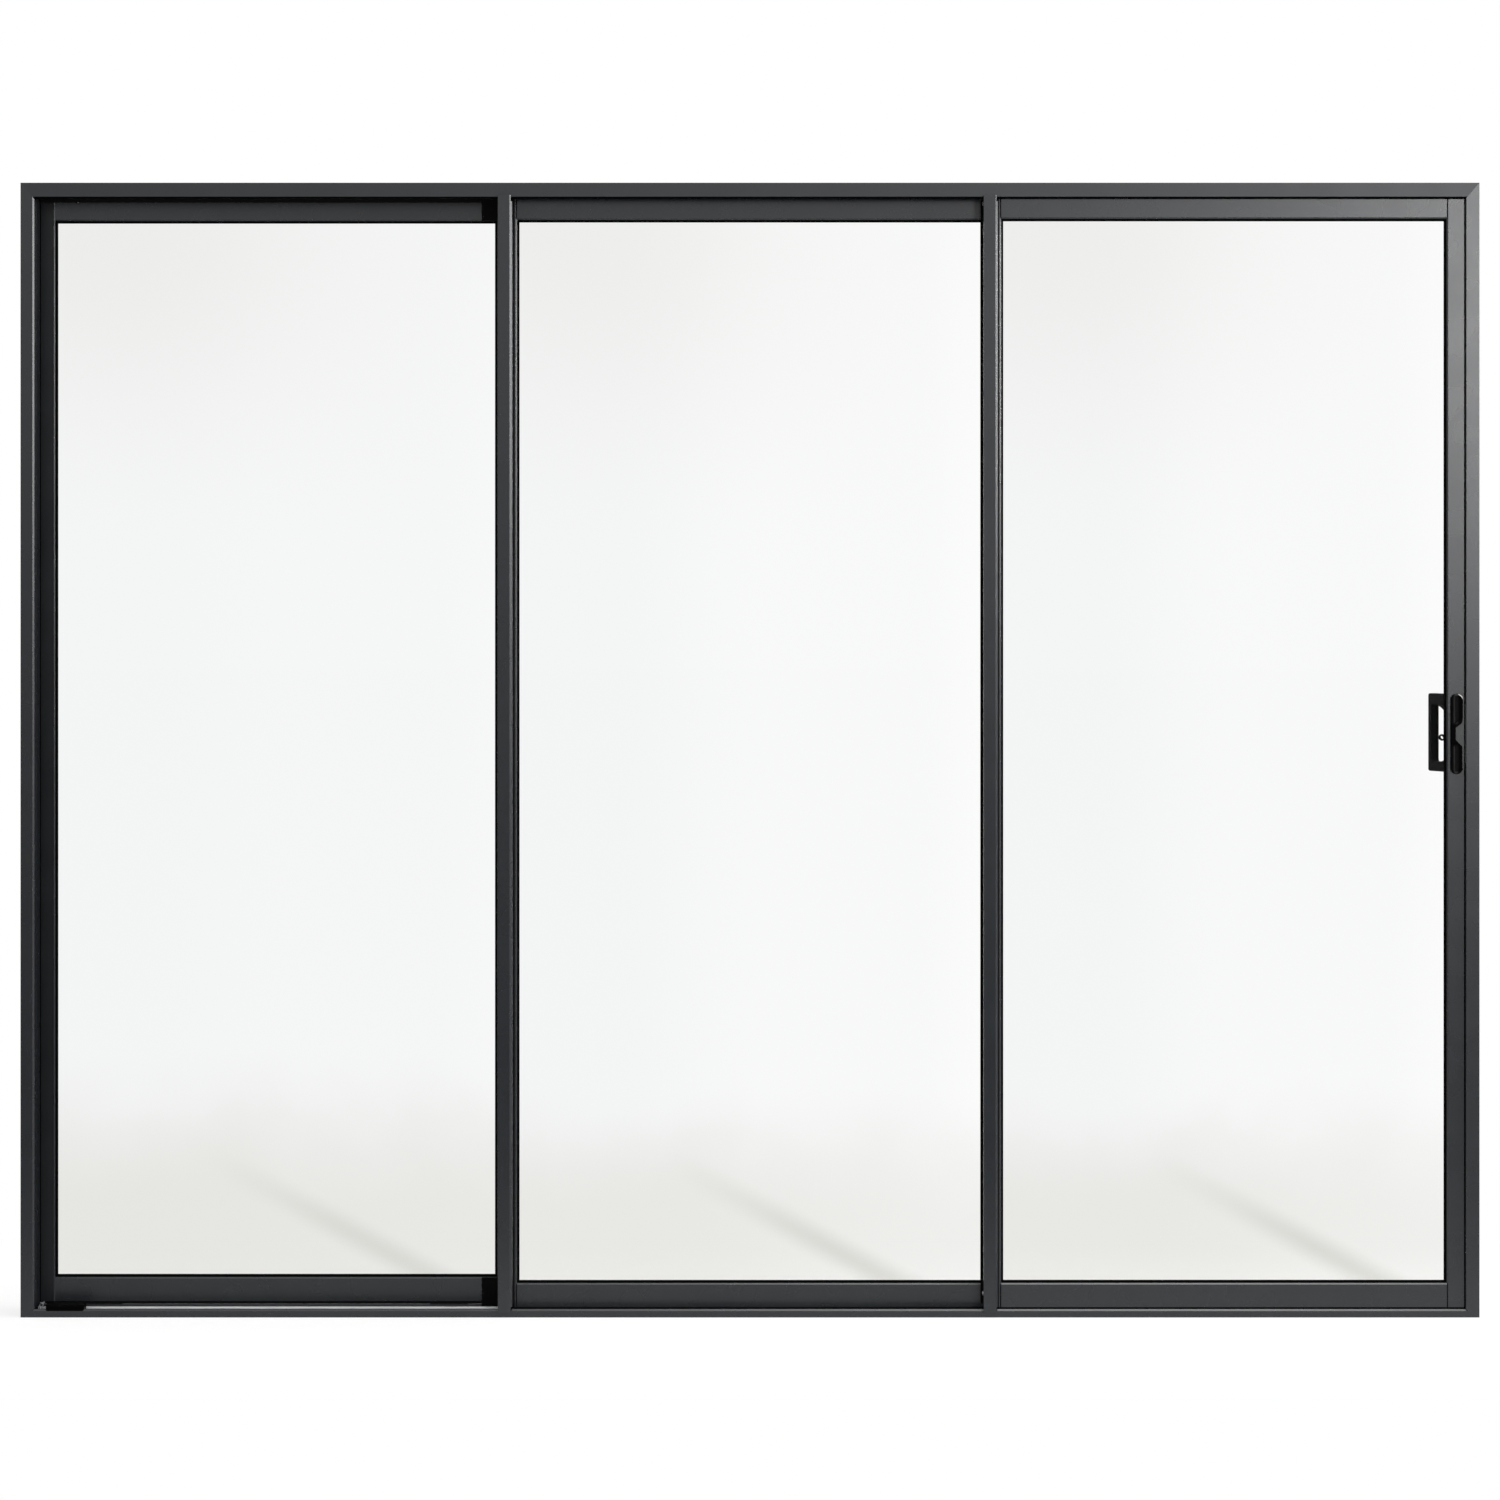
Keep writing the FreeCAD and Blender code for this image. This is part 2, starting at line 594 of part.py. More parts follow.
def outside_pull():
    """Flat oval pull with two finger scoops and a bite in its right edge."""
    face = TRACKS["front"] - PANEL_THICK / 2
    front = face - PULL_THICK
    right = RIGHT_RIGHT - PULL_INSET
    left = right - PULL_WIDTH
    cx = (left + right) / 2
    mid = HANDLE_HEIGHT
    body = obround(PULL_WIDTH, PULL_LENGTH, cx, mid, front, face)
    rim = [edge for edge in body.Edges if abs(edge.BoundBox.YMax - front) < PULL_EDGE / 2]
    body = body.makeFillet(PULL_EDGE, rim)
    reach = PULL_LENGTH / 2 - SCOOP_END
    strip = right - BITE_STRIP
    deep = right - BITE_DEPTH
    clear = right + BITE_STRIP
    bite = [(clear, mid + BITE_TOP, 0), (right, mid + BITE_TOP, 0), (strip, mid + BITE_TURN, BITE_SHOULDER),
            (deep, mid + BITE_FLOOR, BITE_CORNER), (deep, mid - BITE_FLOOR, BITE_CORNER),
            (strip, mid - BITE_LOW, BITE_CORNER), (strip, mid - BITE_STRIP_END, 0),
            (clear, mid - BITE_STRIP_END, 0)]
    body = body.cut(rounded_face(bite, lambda x, z: point(x, front, z)).extrude(point(0, PULL_THICK, 0)))
    bend = PULL_WIDTH / 2 - SCOOP_SIDE
    side = left + SCOOP_SIDE
    upper = [(side, mid + BITE_FLOOR + SCOOP_CORNER, SCOOP_CORNER),
             (right - SCOOP_LIP, mid + BITE_TOP, SCOOP_CORNER),
             (right - SCOOP_LIP, mid + reach, bend), (side, mid + reach, bend)]
    lower = [(side, mid - BITE_FLOOR - SCOOP_CORNER, SCOOP_CORNER), (side, mid - reach, bend),
             (strip - SCOOP_LIP, mid - reach, bend),
             (strip - SCOOP_LIP, mid - BITE_LOW - SCOOP_CORNER, SCOOP_CORNER)]
    return body.cut(scoop(upper, cx, front)).cut(scoop(lower, cx, front))


def grip_place(u, w, z):
    """Point of the leaning pull: u runs away from the plate along the lean, w across it."""
    lean = math.radians(GRIP_LEAN)
    return point(PLATE_CENTRE - u * math.sin(lean) + w * math.cos(lean),
                 PLATE_FACE + u * math.cos(lean) + w * math.sin(lean), z)


def grip_slab(corners):
    """Slab of the pull's width, from an outline of (u, z, radius) corners in the leaning plane."""
    half = GRIP_WIDTH / 2
    across = grip_place(0, half, 0) - grip_place(0, -half, 0)
    return rounded_face(corners, lambda u, z: grip_place(u, -half, z)).extrude(across)


def inside_pull():
    """Leaning D-shaped pull on its plate, on the room side of the closing stile."""
    mid = HANDLE_HEIGHT
    low, high = mid - GRIP_LENGTH / 2, mid + GRIP_LENGTH / 2
    root = -GRIP_WIDTH
    bow = grip_slab([(root, low, 0), (GRIP_REACH, low, GRIP_CORNER),
                     (GRIP_REACH, high, GRIP_CORNER), (root, high, 0)])
    bow = bow.makeFillet(GRIP_FILLET, [edge for edge in bow.Edges if keeps_to_side(edge)])
    inner = GRIP_REACH - GRIP_DEEP
    slot = grip_slab([(-GRIP_ROOT, low + ARM_BOTTOM, ARM_FLARE_BOTTOM),
                      (inner, low + ARM_BOTTOM, GRIP_CORNER), (inner, high - ARM_TOP, GRIP_CORNER),
                      (-GRIP_ROOT, high - ARM_TOP, ARM_FLARE_TOP)])
    bow = bow.cut(slot)
    far = GRIP_REACH + GRIP_WIDTH
    behind = block((PLATE_CENTRE - far, PLATE_FACE - far, low), (PLATE_CENTRE + far, PLATE_FACE, high))
    half = PLATE_WIDTH / 2
    tall = PLATE_LENGTH / 2
    corners = [(PLATE_CENTRE + sx * half, mid + sz * tall, PLATE_CORNER)
               for sx, sz in ((-1, -1), (1, -1), (1, 1), (-1, 1))]
    plate = rounded_face(corners, lambda x, z: point(x, PLATE_FACE - PLATE_THICK, z))
    return fuse_all([plate.extrude(point(0, PLATE_THICK, 0)), bow.cut(behind)])


def keeps_to_side(edge):
    """True for an edge that lies in one of the two broad faces of the leaning pull, off its root."""
    lean = math.radians(GRIP_LEAN)
    spots = [vertex.Point for vertex in edge.Vertexes]
    across = [(p.x - PLATE_CENTRE) * math.cos(lean) + (p.y - PLATE_FACE) * math.sin(lean) for p in spots]
    out = [(p.y - PLATE_FACE) * math.cos(lean) - (p.x - PLATE_CENTRE) * math.sin(lean) for p in spots]
    return abs(across[0] - across[1]) < GRIP_FILLET / 2 and max(out) > 0


def snib_lever():
    """Small lever with a slotted ring at its tip that works the lock from inside."""
    x, y, z = PLATE_CENTRE, PLATE_FACE + SNIB_SEAT, HANDLE_HEIGHT
    angle = math.radians(SNIB_DROP)
    tip = point(x - SNIB_REACH * math.cos(angle), y, z - SNIB_REACH * math.sin(angle))
    out = point(0, 1, 0)
    hub = rod(SNIB_RADIUS, point(x, y, z), SNIB_THICK, out)
    ring = rod(SNIB_RING_OUTER, tip, SNIB_THICK, out)
    arm = block((x - SNIB_REACH, y, z - SNIB_ARM / 2), (x, y + SNIB_THICK, z + SNIB_ARM / 2))
    arm.rotate(point(x, y, z), out, -SNIB_DROP)
    hole = obround(SNIB_HOLE_WIDTH, SNIB_HOLE_LENGTH, tip.x, tip.z, y, y + SNIB_THICK)
    hole.rotate(tip, out, -SNIB_HOLE_TILT)
    return fuse_all([hub, arm, ring]).cut(hole)


def lock_case():
    """Mortise lock in the closing stile, with its face plate flush with the stile's edge."""
    y = TRACKS["front"]
    half = LOCK_HEIGHT / 2
    case = block((RIGHT_RIGHT - LOCK_DEPTH, y - LOCK_WIDTH / 2, HANDLE_HEIGHT - half),
                 (RIGHT_RIGHT, y + LOCK_WIDTH / 2, HANDLE_HEIGHT + half))
    half = LOCK_FACE_HEIGHT / 2
    plate = block((RIGHT_RIGHT - LOCK_FACE_THICK, y - LOCK_FACE_WIDTH / 2, HANDLE_HEIGHT - half),
                  (RIGHT_RIGHT, y + LOCK_FACE_WIDTH / 2, HANDLE_HEIGHT + half))
    return fuse_all([case, plate])


def build_panel(name, x0, x1, track, left_width, right_width):
    """Saves the rails, pane and gasket of one panel and gives back its two stiles."""
    y, low = TRACKS[track], PANEL_BOTTOMS[track]
    inner0, inner1 = x0 + left_width, x1 - right_width
    save(name + "_top_rail", top_rail(inner0, inner1, y))
    save(name + "_bottom_rail", bottom_rail(inner0, inner1, y, low))
    pane = glass(x0, x1, y, low, left_width, right_width)
    save(name + "_glass", pane)
    save(name + "_gasket", gasket(x0, x1, y, low, left_width, right_width, pane))
    return stile(x0, inner0, y, low, 1), stile(inner1, x1, y, low, -1)


def save_running_gear(name, x0, x1, track):
    """Saves the carriages, wheels and top guides of a sliding panel whose rails run from x0 to x1."""
    save(name + "_carriages", carriages(x0, x1, TRACKS[track], PANEL_BOTTOMS[track]))
    save(name + "_wheels", wheels(x0, x1, TRACKS[track]))
    save(name + "_guides", top_guides(x0, x1, track))


def build():
    os.makedirs("parts", exist_ok=True)
    save("sill", sill())
    save("head", head())
    save("left_jamb", jamb(-1, EDGE_BEVEL))
    save("right_jamb", jamb(1, CLOSING_BEVEL).cut(keeper_recess()))
    for name, y in TRACKS.items():
        save(name + "_track", track_cap(y))
    save("stop_block", stop_block())
    save("keeper", keeper())
    save("jamb_seal", jamb_seal())

    half = PANEL_THICK / 2
    rear, middle, front = TRACKS["rear"], TRACKS["middle"], TRACKS["front"]
    left_hooks, right_hooks = hook_place(MIDDLE_LEFT), hook_place(RIGHT_LEFT)

    left, right = build_panel("left_panel", LEFT_LEFT, LEFT_RIGHT, "rear", STILE_WIDTH, FIXED_MEETING_WIDTH)
    save("left_panel_left_stile", left)
    save("left_panel_right_stile", fuse_all([right, hook(left_hooks[1], rear - half, -1)]))
    save("left_panel_seats", track_seats(LEFT_LEFT + STILE_WIDTH, LEFT_RIGHT - FIXED_MEETING_WIDTH, rear,
                                         PANEL_BOTTOMS["rear"]))

    left, right = build_panel("middle_panel", MIDDLE_LEFT, MIDDLE_RIGHT, "middle",
                              INTERLOCK_WIDTH, INTERLOCK_WIDTH)
    save("middle_panel_left_stile", fuse_all([left, hook(left_hooks[0], middle + half, 1)]))
    save("middle_panel_right_stile", fuse_all([right, hook(right_hooks[1], middle - half, -1)]))
    save("middle_panel_cover", cover(MIDDLE_LEFT, middle - half))
    save_running_gear("middle_panel", MIDDLE_LEFT + INTERLOCK_WIDTH, MIDDLE_RIGHT - INTERLOCK_WIDTH, "middle")

    left, right = build_panel("right_panel", RIGHT_LEFT, RIGHT_RIGHT, "front", INTERLOCK_WIDTH, STILE_WIDTH)
    save("right_panel_left_stile", fuse_all([left, hook(right_hooks[0], front + half, 1)]))
    lock = lock_case()
    save("right_panel_right_stile", right.cut(lock))
    save("lock_case", lock)
    save("right_panel_cover", cover(RIGHT_LEFT, front - half))
    save_running_gear("right_panel", RIGHT_LEFT + INTERLOCK_WIDTH, STILE_LEFT, "front")
    save("outside_pull", outside_pull())
    save("inside_pull", inside_pull())
    save("snib_lever", snib_lever())


build()
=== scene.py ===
"""Three-panel glass sliding patio door in charcoal powder-coated aluminium, seen closed from outside."""

import json
import math

import bpy
import numpy as np
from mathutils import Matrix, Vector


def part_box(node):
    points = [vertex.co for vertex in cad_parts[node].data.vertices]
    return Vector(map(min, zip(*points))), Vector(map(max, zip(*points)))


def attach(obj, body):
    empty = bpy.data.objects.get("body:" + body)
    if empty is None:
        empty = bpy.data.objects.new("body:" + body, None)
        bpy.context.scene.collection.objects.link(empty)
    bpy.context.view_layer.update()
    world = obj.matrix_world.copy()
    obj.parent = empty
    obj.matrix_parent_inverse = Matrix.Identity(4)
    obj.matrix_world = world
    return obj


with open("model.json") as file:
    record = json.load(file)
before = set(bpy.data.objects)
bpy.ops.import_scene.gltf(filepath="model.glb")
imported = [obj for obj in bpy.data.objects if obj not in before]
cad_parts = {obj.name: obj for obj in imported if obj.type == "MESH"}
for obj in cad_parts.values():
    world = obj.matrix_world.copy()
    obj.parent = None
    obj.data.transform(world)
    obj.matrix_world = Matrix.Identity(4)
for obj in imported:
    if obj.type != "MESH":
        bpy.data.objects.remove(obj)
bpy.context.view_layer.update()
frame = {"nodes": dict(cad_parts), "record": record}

MM = 0.001

# Camera: level, facing the door square on; the sensor in millimetres, the rest in metres or shares
CAMERA_DISTANCE = 9.0
CAMERA_HEIGHT = 1.4666
CAMERA_SHIFT = -0.15
SENSOR = 36.0
VIEW_WIDTH = 2.7759

# Softboxes: place, the point that each faces, width and height in metres, and watts
SOFTBOXES = {
    "softbox_front_right": ((3.45, -9.0, 2.35), (1.2, 0, 1.7), 1.3, 1.2, 195),
    "softbox_side": ((6.2, -1.2, 2.5), (0, 0, 1.9), 4.0, 2.0, 280),
    "softbox_overhead": ((1.5, -0.7, 4.8), (1.0, 0, 0), 3.8, 1.4, 90),
}

# Finishes, as sRGB hex
CHARCOAL = "#15181B"
CHARCOAL_LIGHT = "#1B1E22"
# Darker charcoal: painted shade for the recessed stile of the fixed panel
CHARCOAL_SHADE = "#07080A"
GLASS_CLEAR = "#F4F5F5"
# Lightest glass tone: painted highlight towards a pane's right edge
GLASS_HIGHLIGHT = "#FDFDFD"
# Painted shade of the glass towards its foot, with its lighter variant on the right
GLASS_SHADE = "#E5E5E1"
GLASS_SHADE_LIGHT = "#F1F1EF"
# Painted shade of a slanted streak across the glass
GLASS_STREAK_SHADE = "#D9D9D4"
RUBBER = "#020202"
STEEL = "#DDDEE0"
STEEL_RUBBED = "#ECEDEE"
# Stainless darkened to a grey: painted shade of the rear track under the fixed panel
STEEL_SHADE = "#55575A"
BLACK_CASTING = "#050505"
# Pale tone of a painted highlight on the outside pull's top corner
CASTING_GLINT = "#C4C3BF"
ZINC = "#A9ABAD"
NYLON = "#101012"
BLOCK = "#010101"
PILE = "#010101"
PILE_LIGHT = "#1C1B1B"
SEALANT = "#5E6164"
FLOOR = "#F4F4F4"

# Typical indices of refraction
IOR_PAINT = 1.5
IOR_GLASS = 1.52
IOR_RUBBER = 1.52
IOR_NYLON = 1.53
IOR_SILICONE = 1.41

# Kinds of node that are used often, and the setting that eases both ends of a step
MATHS = "ShaderNodeMath"
STEP = "ShaderNodeMapRange"
MIX = "ShaderNodeMix"
SPLIT = "ShaderNodeSeparateXYZ"
EASED = {"interpolation_type": "SMOOTHSTEP"}

# Sockets of the mix node, which has two for numbers, two for colours and an output for colours
NUMBER_A, NUMBER_B = 2, 3
COLOUR_A, COLOUR_B, COLOUR_OUT = 6, 7, 2

# Values between which most of a cloudy pattern lies
CLOUD_LOW, CLOUD_HIGH = 0.3, 0.7

# Powder coat: how far its roughness drifts each way
COAT_DRIFT = 0.008

# Glass: tint of what it mirrors, and the share of painted highlight that each pane takes towards its right
# edge
GLASS_MIRROR = (0.12, 0.12, 0.12, 1.0)
SHEEN = {"left_panel_glass": 0.3, "middle_panel_glass": 1.0, "right_panel_glass": 1.0}

# Painted highlight on the lit and on the shaded tone of a pane: start and end as shares of the width, gain
# at each, and the two tones it mixes
PAINTED_GRADIENTS = (
    (0.2, 0.55, 0.0, 0.45, GLASS_CLEAR, GLASS_HIGHLIGHT),
    (0.3, 1.0, 0.25, 0.85, GLASS_SHADE, GLASS_SHADE_LIGHT),
)

# Last stretch of a pane, which takes a stronger painted highlight: its start as a share of the width, and
# its gain
EDGE_START, EDGE_GAIN = 0.85, 0.6

# Painted shade at the foot of a pane, in metres: whole below, gone above, lower with sheen, and raggedness
SHADE_WHOLE, SHADE_GONE, SHADE_SHEEN_DROP, SHADE_RAGGED = 0.22, 0.52, 0.065, 0.16

# Faint painted shade in the top left corner: the heights it grows between, where it is strongest, and its
# shares
CORNER_LOW, CORNER_HIGH, CORNER_LEFT = 1.35, 2.0, 0.1
CORNER_MOST, CORNER_LEAST = 0.55, 0.1

# Streak of painted shade: fall in metres a metre, height at the left edge, half its width, and strength at
# its middle
STREAK_FALL, STREAK_HEIGHT, STREAK_HALF, STREAK_SHARE = 0.53, 0.386, 0.045, 0.9

# How far across the pane the streak starts to show, and is whole, in metres
STREAK_LEFT, STREAK_RIGHT = 0.25, 0.6

# Outside pull: centre of its top end, and the plane that its front lies before
PULL_TOP = (1.3095, 0, 1.143)
PULL_FRONT = -0.049

# Painted highlight: a ring round that centre, and the way to the upper right at which it starts and is whole
GLINT_RADIUS, GLINT_WIDTH = 0.0098, 0.0016
GLINT_FROM, GLINT_TO = 0.0105, 0.0135

# Strip of higher gloss, a painted highlight, by axis: how far left or down it lies, where it fades from and
# to, and its values in and out
GLOSS_STRIP = (
    ("X", 0.0025, 0.001, 0.0055, 0.27, 0.01),
    ("Z", 0.065, 0.018, 0.024, 0.02, 1.0),
)

# Gloss of the casting away from the outside pull's front
CASTING_GLOSS = 0.05

# Planes on the door and sizes of its frame, in metres
FRONT = -0.055
FIN_BACK = -0.0235
PULL_PLATE = -0.020
HEAD_LIP = 0.0295
JAMB_POCKET = 0.009
WEDGE_FOOT = 0.016

# Places of the fasteners, in metres
RIVET_SPOT = (-1.2545, 2.0685)
PULL_SCREW_ACROSS = 1.3120
FIXING_HEIGHTS = (0.2, 0.767, 1.333, 1.9)
PULL_SCREW_HEIGHTS = (1.042, 1.118)
PANEL_TRACKS = {"middle_panel": 0.0, "right_panel": -0.034}

# Sections of the seals, in millimetres from the corner that each stands at
HEAD_BEAD = ((0.2, 4), (4, 4), (4, 0), (2.8, 0), (0.9, 1.3))
STILE_BEAD = ((-3.2, 0), (0, 0), (-1.7, -1.9), (-2.5, -1.9))
WEDGE = ((-4, 0), (-4, -6), (0.4, -6), (1.6, 0))

# Sections of the brushes, the same way; the last two points are the tips of the fibres
BOTTOM_BRUSH = ((0.4, 0), (3.6, 0), (3.0, -4.5), (1.0, -4.5))
COVER_PILE = ((0, 0), (2.8, 0), (2.2, -3.5), (0, -3.5))
FIN = ((0, -3.5), (0, 0), (-4, -0.8), (-4, -2.8))
PAD = ((4, 0), (4, -5.5), (-32.5, -4.8), (-34.5, 0))

# Strips: distance between stations and how ragged the tips are, in metres
PLAIN = (0.02, 0.0)
RAIL_FIBRES = (0.003, 0.0004)
STILE_FIBRES = (0.004, 0.0003)
PAD_FIBRES = (0.0016, 0.0007)

# Axes that a strip runs along
ALONG_X, ALONG_Z = 0, 2

# Ends of the strips, in metres: how far a brush, the fin, a pad and the stile's bead stop from their members
BRUSH_END = 0.003
FIN_LOW, FIN_HIGH = 0.004, 0.002
PAD_END, PAD_TOP, PAD_DROP = 0.0002, 0.001, 0.0105
BEAD_END = 0.0024

# Gap between the fixed panel's top brush and the head's lip, in millimetres
TOP_BRUSH_GAP = 2.2

# Screw heads, and the rivet with its washer: radius and height, in metres
FRAME_HEAD = (0.0052, 0.0024)
KEEPER_HEAD = (0.0036, 0.0009)
WASHER = (0.0030, 0.0030)
RIVET = (0.0014, 0.0012)
LOCK_HEAD = (0.0034, 0.0006)
PULL_HEAD = (0.0031, 0.0012)
CORNER_HEAD = (0.0044, 0.0018)

# Height at which the rivet sits, as a share of the washer's
RIVET_SEAT = 0.9

# Shape of a screw head, as shares of its radius and of its height
DOME_FALL, GROOVE_DEPTH = 0.55, 0.6
GROOVE_HALF, GROOVE_WALL, GROOVE_END, GROOVE_SLOPE = 0.16, 0.06, 0.62, 0.1

# Lumps of a torn strand: height as a share of its size, and the angle that their wave runs through
LUMP_HEIGHT, LUMP_RUN = 0.18, 17

# Room in front of the door, as gloss sees it: level at the horizon and overhead, and the slope between them
ROOM_LOW, ROOM_HIGH, ROOM_RISE = 0.95, 1.7, 0.25

# Share of that level at the left, and the ways across between which it grows to the whole
ROOM_LEFT_SHARE, ROOM_LEFT, ROOM_RIGHT = 0.8, -0.35, 0.15

# Ways back between which the room turns into the white behind the door, and the level of all other light
BEHIND_START, BEHIND_END = -0.1, 0.4
PLAIN_LEVEL = 0.85

# Floor: half its side, share of plain white beside the door, and where that share grows to the whole
FLOOR_HALF = 40.0
FLOOR_WHITE = 0.75
FLOOR_CLEARS = (("X", 1.4, 2.2), ("Y", 0.1, 0.9))

# Floor as gloss sees it: level near and far, with their places, and share at the left, with its places
FLOOR_GLOSS_NEAR, FLOOR_NEAR = 0.88, -0.3
FLOOR_GLOSS_FAR, FLOOR_FAR = 0.05, -2.4
FLOOR_LEFT_SHARE, FLOOR_LEFT, FLOOR_RIGHT = 0.7, -1.6, -0.4


def linear(hex_colour):
    """sRGB hex to linear RGBA."""
    parts = [int(hex_colour[i:i + 2], 16) / 255 for i in (1, 3, 5)]
    return tuple(c / 12.92 if c <= 0.04045 else ((c + 0.055) / 1.055) ** 2.4 for c in parts) + (1.0,)


def add_node(tree, kind, inputs, **settings):
    """Adds a node and gives its outputs. An input is another node's output, a number or a hex colour."""
    node = tree.nodes.new(kind)
    for name, value in settings.items():
        setattr(node, name, value)
    for name, value in inputs.items():
        if isinstance(value, bpy.types.NodeSocket):
            tree.links.new(value, node.inputs[name])
        else:
            node.inputs[name].default_value = linear(value) if isinstance(value, str) else value
    return node.outputs


def new_material(name, colour, roughness, **sockets):
    """Material with one Principled shader; what is the same all over sits on its own sockets."""
    material = bpy.data.materials.new(name)
    material.use_nodes = True
    tree = material.node_tree
    shader = tree.nodes["Principled BSDF"]
    shader.inputs["Base Color"].default_value = linear(colour)
    shader.inputs["Roughness"].default_value = roughness
    for label, value in sockets.items():
        shader.inputs[label.replace("_", " ")].default_value = value
    return material, tree, shader


def place_on_piece(tree, offset=(0, 0, 0), stretch=(1, 1, 1)):
    """Place on the piece itself, in metres, stretched and then moved by an offset."""
    place = add_node(tree, "ShaderNodeTexCoord", {})["Object"]
    moved = add_node(tree, "ShaderNodeMapping", {"Vector": place, "Location": offset, "Scale": stretch})
    return moved["Vector"]


def patches(tree, size, detail=3.0, offset=(0, 0, 0), stretch=(1, 1, 1)):
    """Cloudy pattern on the piece itself, with patches of a size in millimetres."""
    place = place_on_piece(tree, offset, stretch)
    cloud = add_node(tree, "ShaderNodeTexNoise",
                     {"Vector": place, "Scale": 1 / (size * MM), "Detail": detail})
    return cloud["Fac"]


def press_relief(tree, shader, cloud, strength, depth):
    """Lets a pattern press the surface in and out by a depth in millimetres."""
    relief = add_node(tree, "ShaderNodeBump",
                      {"Height": cloud, "Strength": strength, "Distance": depth * MM})
    tree.links.new(relief["Normal"], shader.inputs["Normal"])


def drift_gloss(tree, shader, cloud, low, high):
    """Lets the roughness drift between two values with a pattern."""
    drift = add_node(tree, STEP, {"Value": cloud, "From Min": CLOUD_LOW, "From Max": CLOUD_HIGH,
                                  "To Min": low, "To Max": high}, **EASED)["Result"]
    tree.links.new(drift, shader.inputs["Roughness"])


def drift_colour(tree, shader, cloud, low, high):
    """Lets the colour drift between two tones with a pattern."""
    tone = add_node(tree, MIX, {"Factor": cloud, COLOUR_A: low, COLOUR_B: high}, data_type="RGBA")
    tree.links.new(tone[COLOUR_OUT], shader.inputs["Base Color"])


def powder_coat(name="charcoal_powder_coat", tone=CHARCOAL, tone_light=CHARCOAL_LIGHT,
                roughness=0.275, gloss=0.5):
    """Polyester powder coat, sprayed and stoved on extruded aluminium: satin, slightly mottled in tone.

    The orange peel is drawn 4 mm across; the real one, near 1 mm, is too fine to show."""
    material, tree, shader = new_material(name, tone, roughness, IOR=IOR_PAINT, Specular_IOR_Level=gloss)
    press_relief(tree, shader, patches(tree, size=4.0, detail=1.0), strength=0.025, depth=1.0)
    drift_colour(tree, shader, patches(tree, size=70.0, detail=4.0), tone, tone_light)
    drift_gloss(tree, shader, patches(tree, size=60.0, detail=1.0),
                roughness - COAT_DRIFT, roughness + COAT_DRIFT)
    return material


def painted_shade_share(tree, cloud, across, up, width, sheen):
    """Share of a pane's face that painted shade darkens: a ragged band at its foot, and a faint one at its
    top that is strongest at the left."""
    level = add_node(tree, MATHS, {0: cloud, 1: SHADE_RAGGED, 2: up}, operation="MULTIPLY_ADD")[0]
    gone = SHADE_GONE - SHADE_SHEEN_DROP * sheen
    darkening = add_node(tree, STEP, {"Value": level, "From Min": SHADE_WHOLE, "From Max": gone,
                                 "To Min": 1.0, "To Max": 0.0}, **EASED)["Result"]
    high = add_node(tree, STEP, {"Value": up, "From Min": CORNER_LOW, "From Max": CORNER_HIGH},
                    **EASED)["Result"]
    near = add_node(tree, STEP, {"Value": across, "From Min": CORNER_LEFT, "From Max": width,
                                 "To Min": CORNER_MOST, "To Max": CORNER_LEAST}, **EASED)["Result"]
    corner = add_node(tree, MATHS, {0: high, 1: near}, operation="MULTIPLY")[0]
    return add_node(tree, MATHS, {0: darkening, 1: corner}, operation="MAXIMUM")[0]


def shaded_streak(tree, across, up):
    """Share of a pane's face that one slanted streak of painted shade takes; it falls to the right and
    starts softly.
    """
    line = add_node(tree, MATHS, {0: across, 1: STREAK_FALL, 2: up}, operation="MULTIPLY_ADD")[0]
    away = add_node(tree, MATHS, {0: line, 1: STREAK_HEIGHT}, operation="SUBTRACT")[0]
    away = add_node(tree, MATHS, {0: away}, operation="ABSOLUTE")[0]
    streak = add_node(tree, STEP, {"Value": away, "From Min": 0.0, "From Max": STREAK_HALF,
                                   "To Min": STREAK_SHARE, "To Max": 0.0}, **EASED)["Result"]
    begun = add_node(tree, STEP, {"Value": across, "From Min": STREAK_LEFT, "From Max": STREAK_RIGHT},
                     **EASED)["Result"]
    return add_node(tree, MATHS, {0: streak, 1: begun}, operation="MULTIPLY")[0]


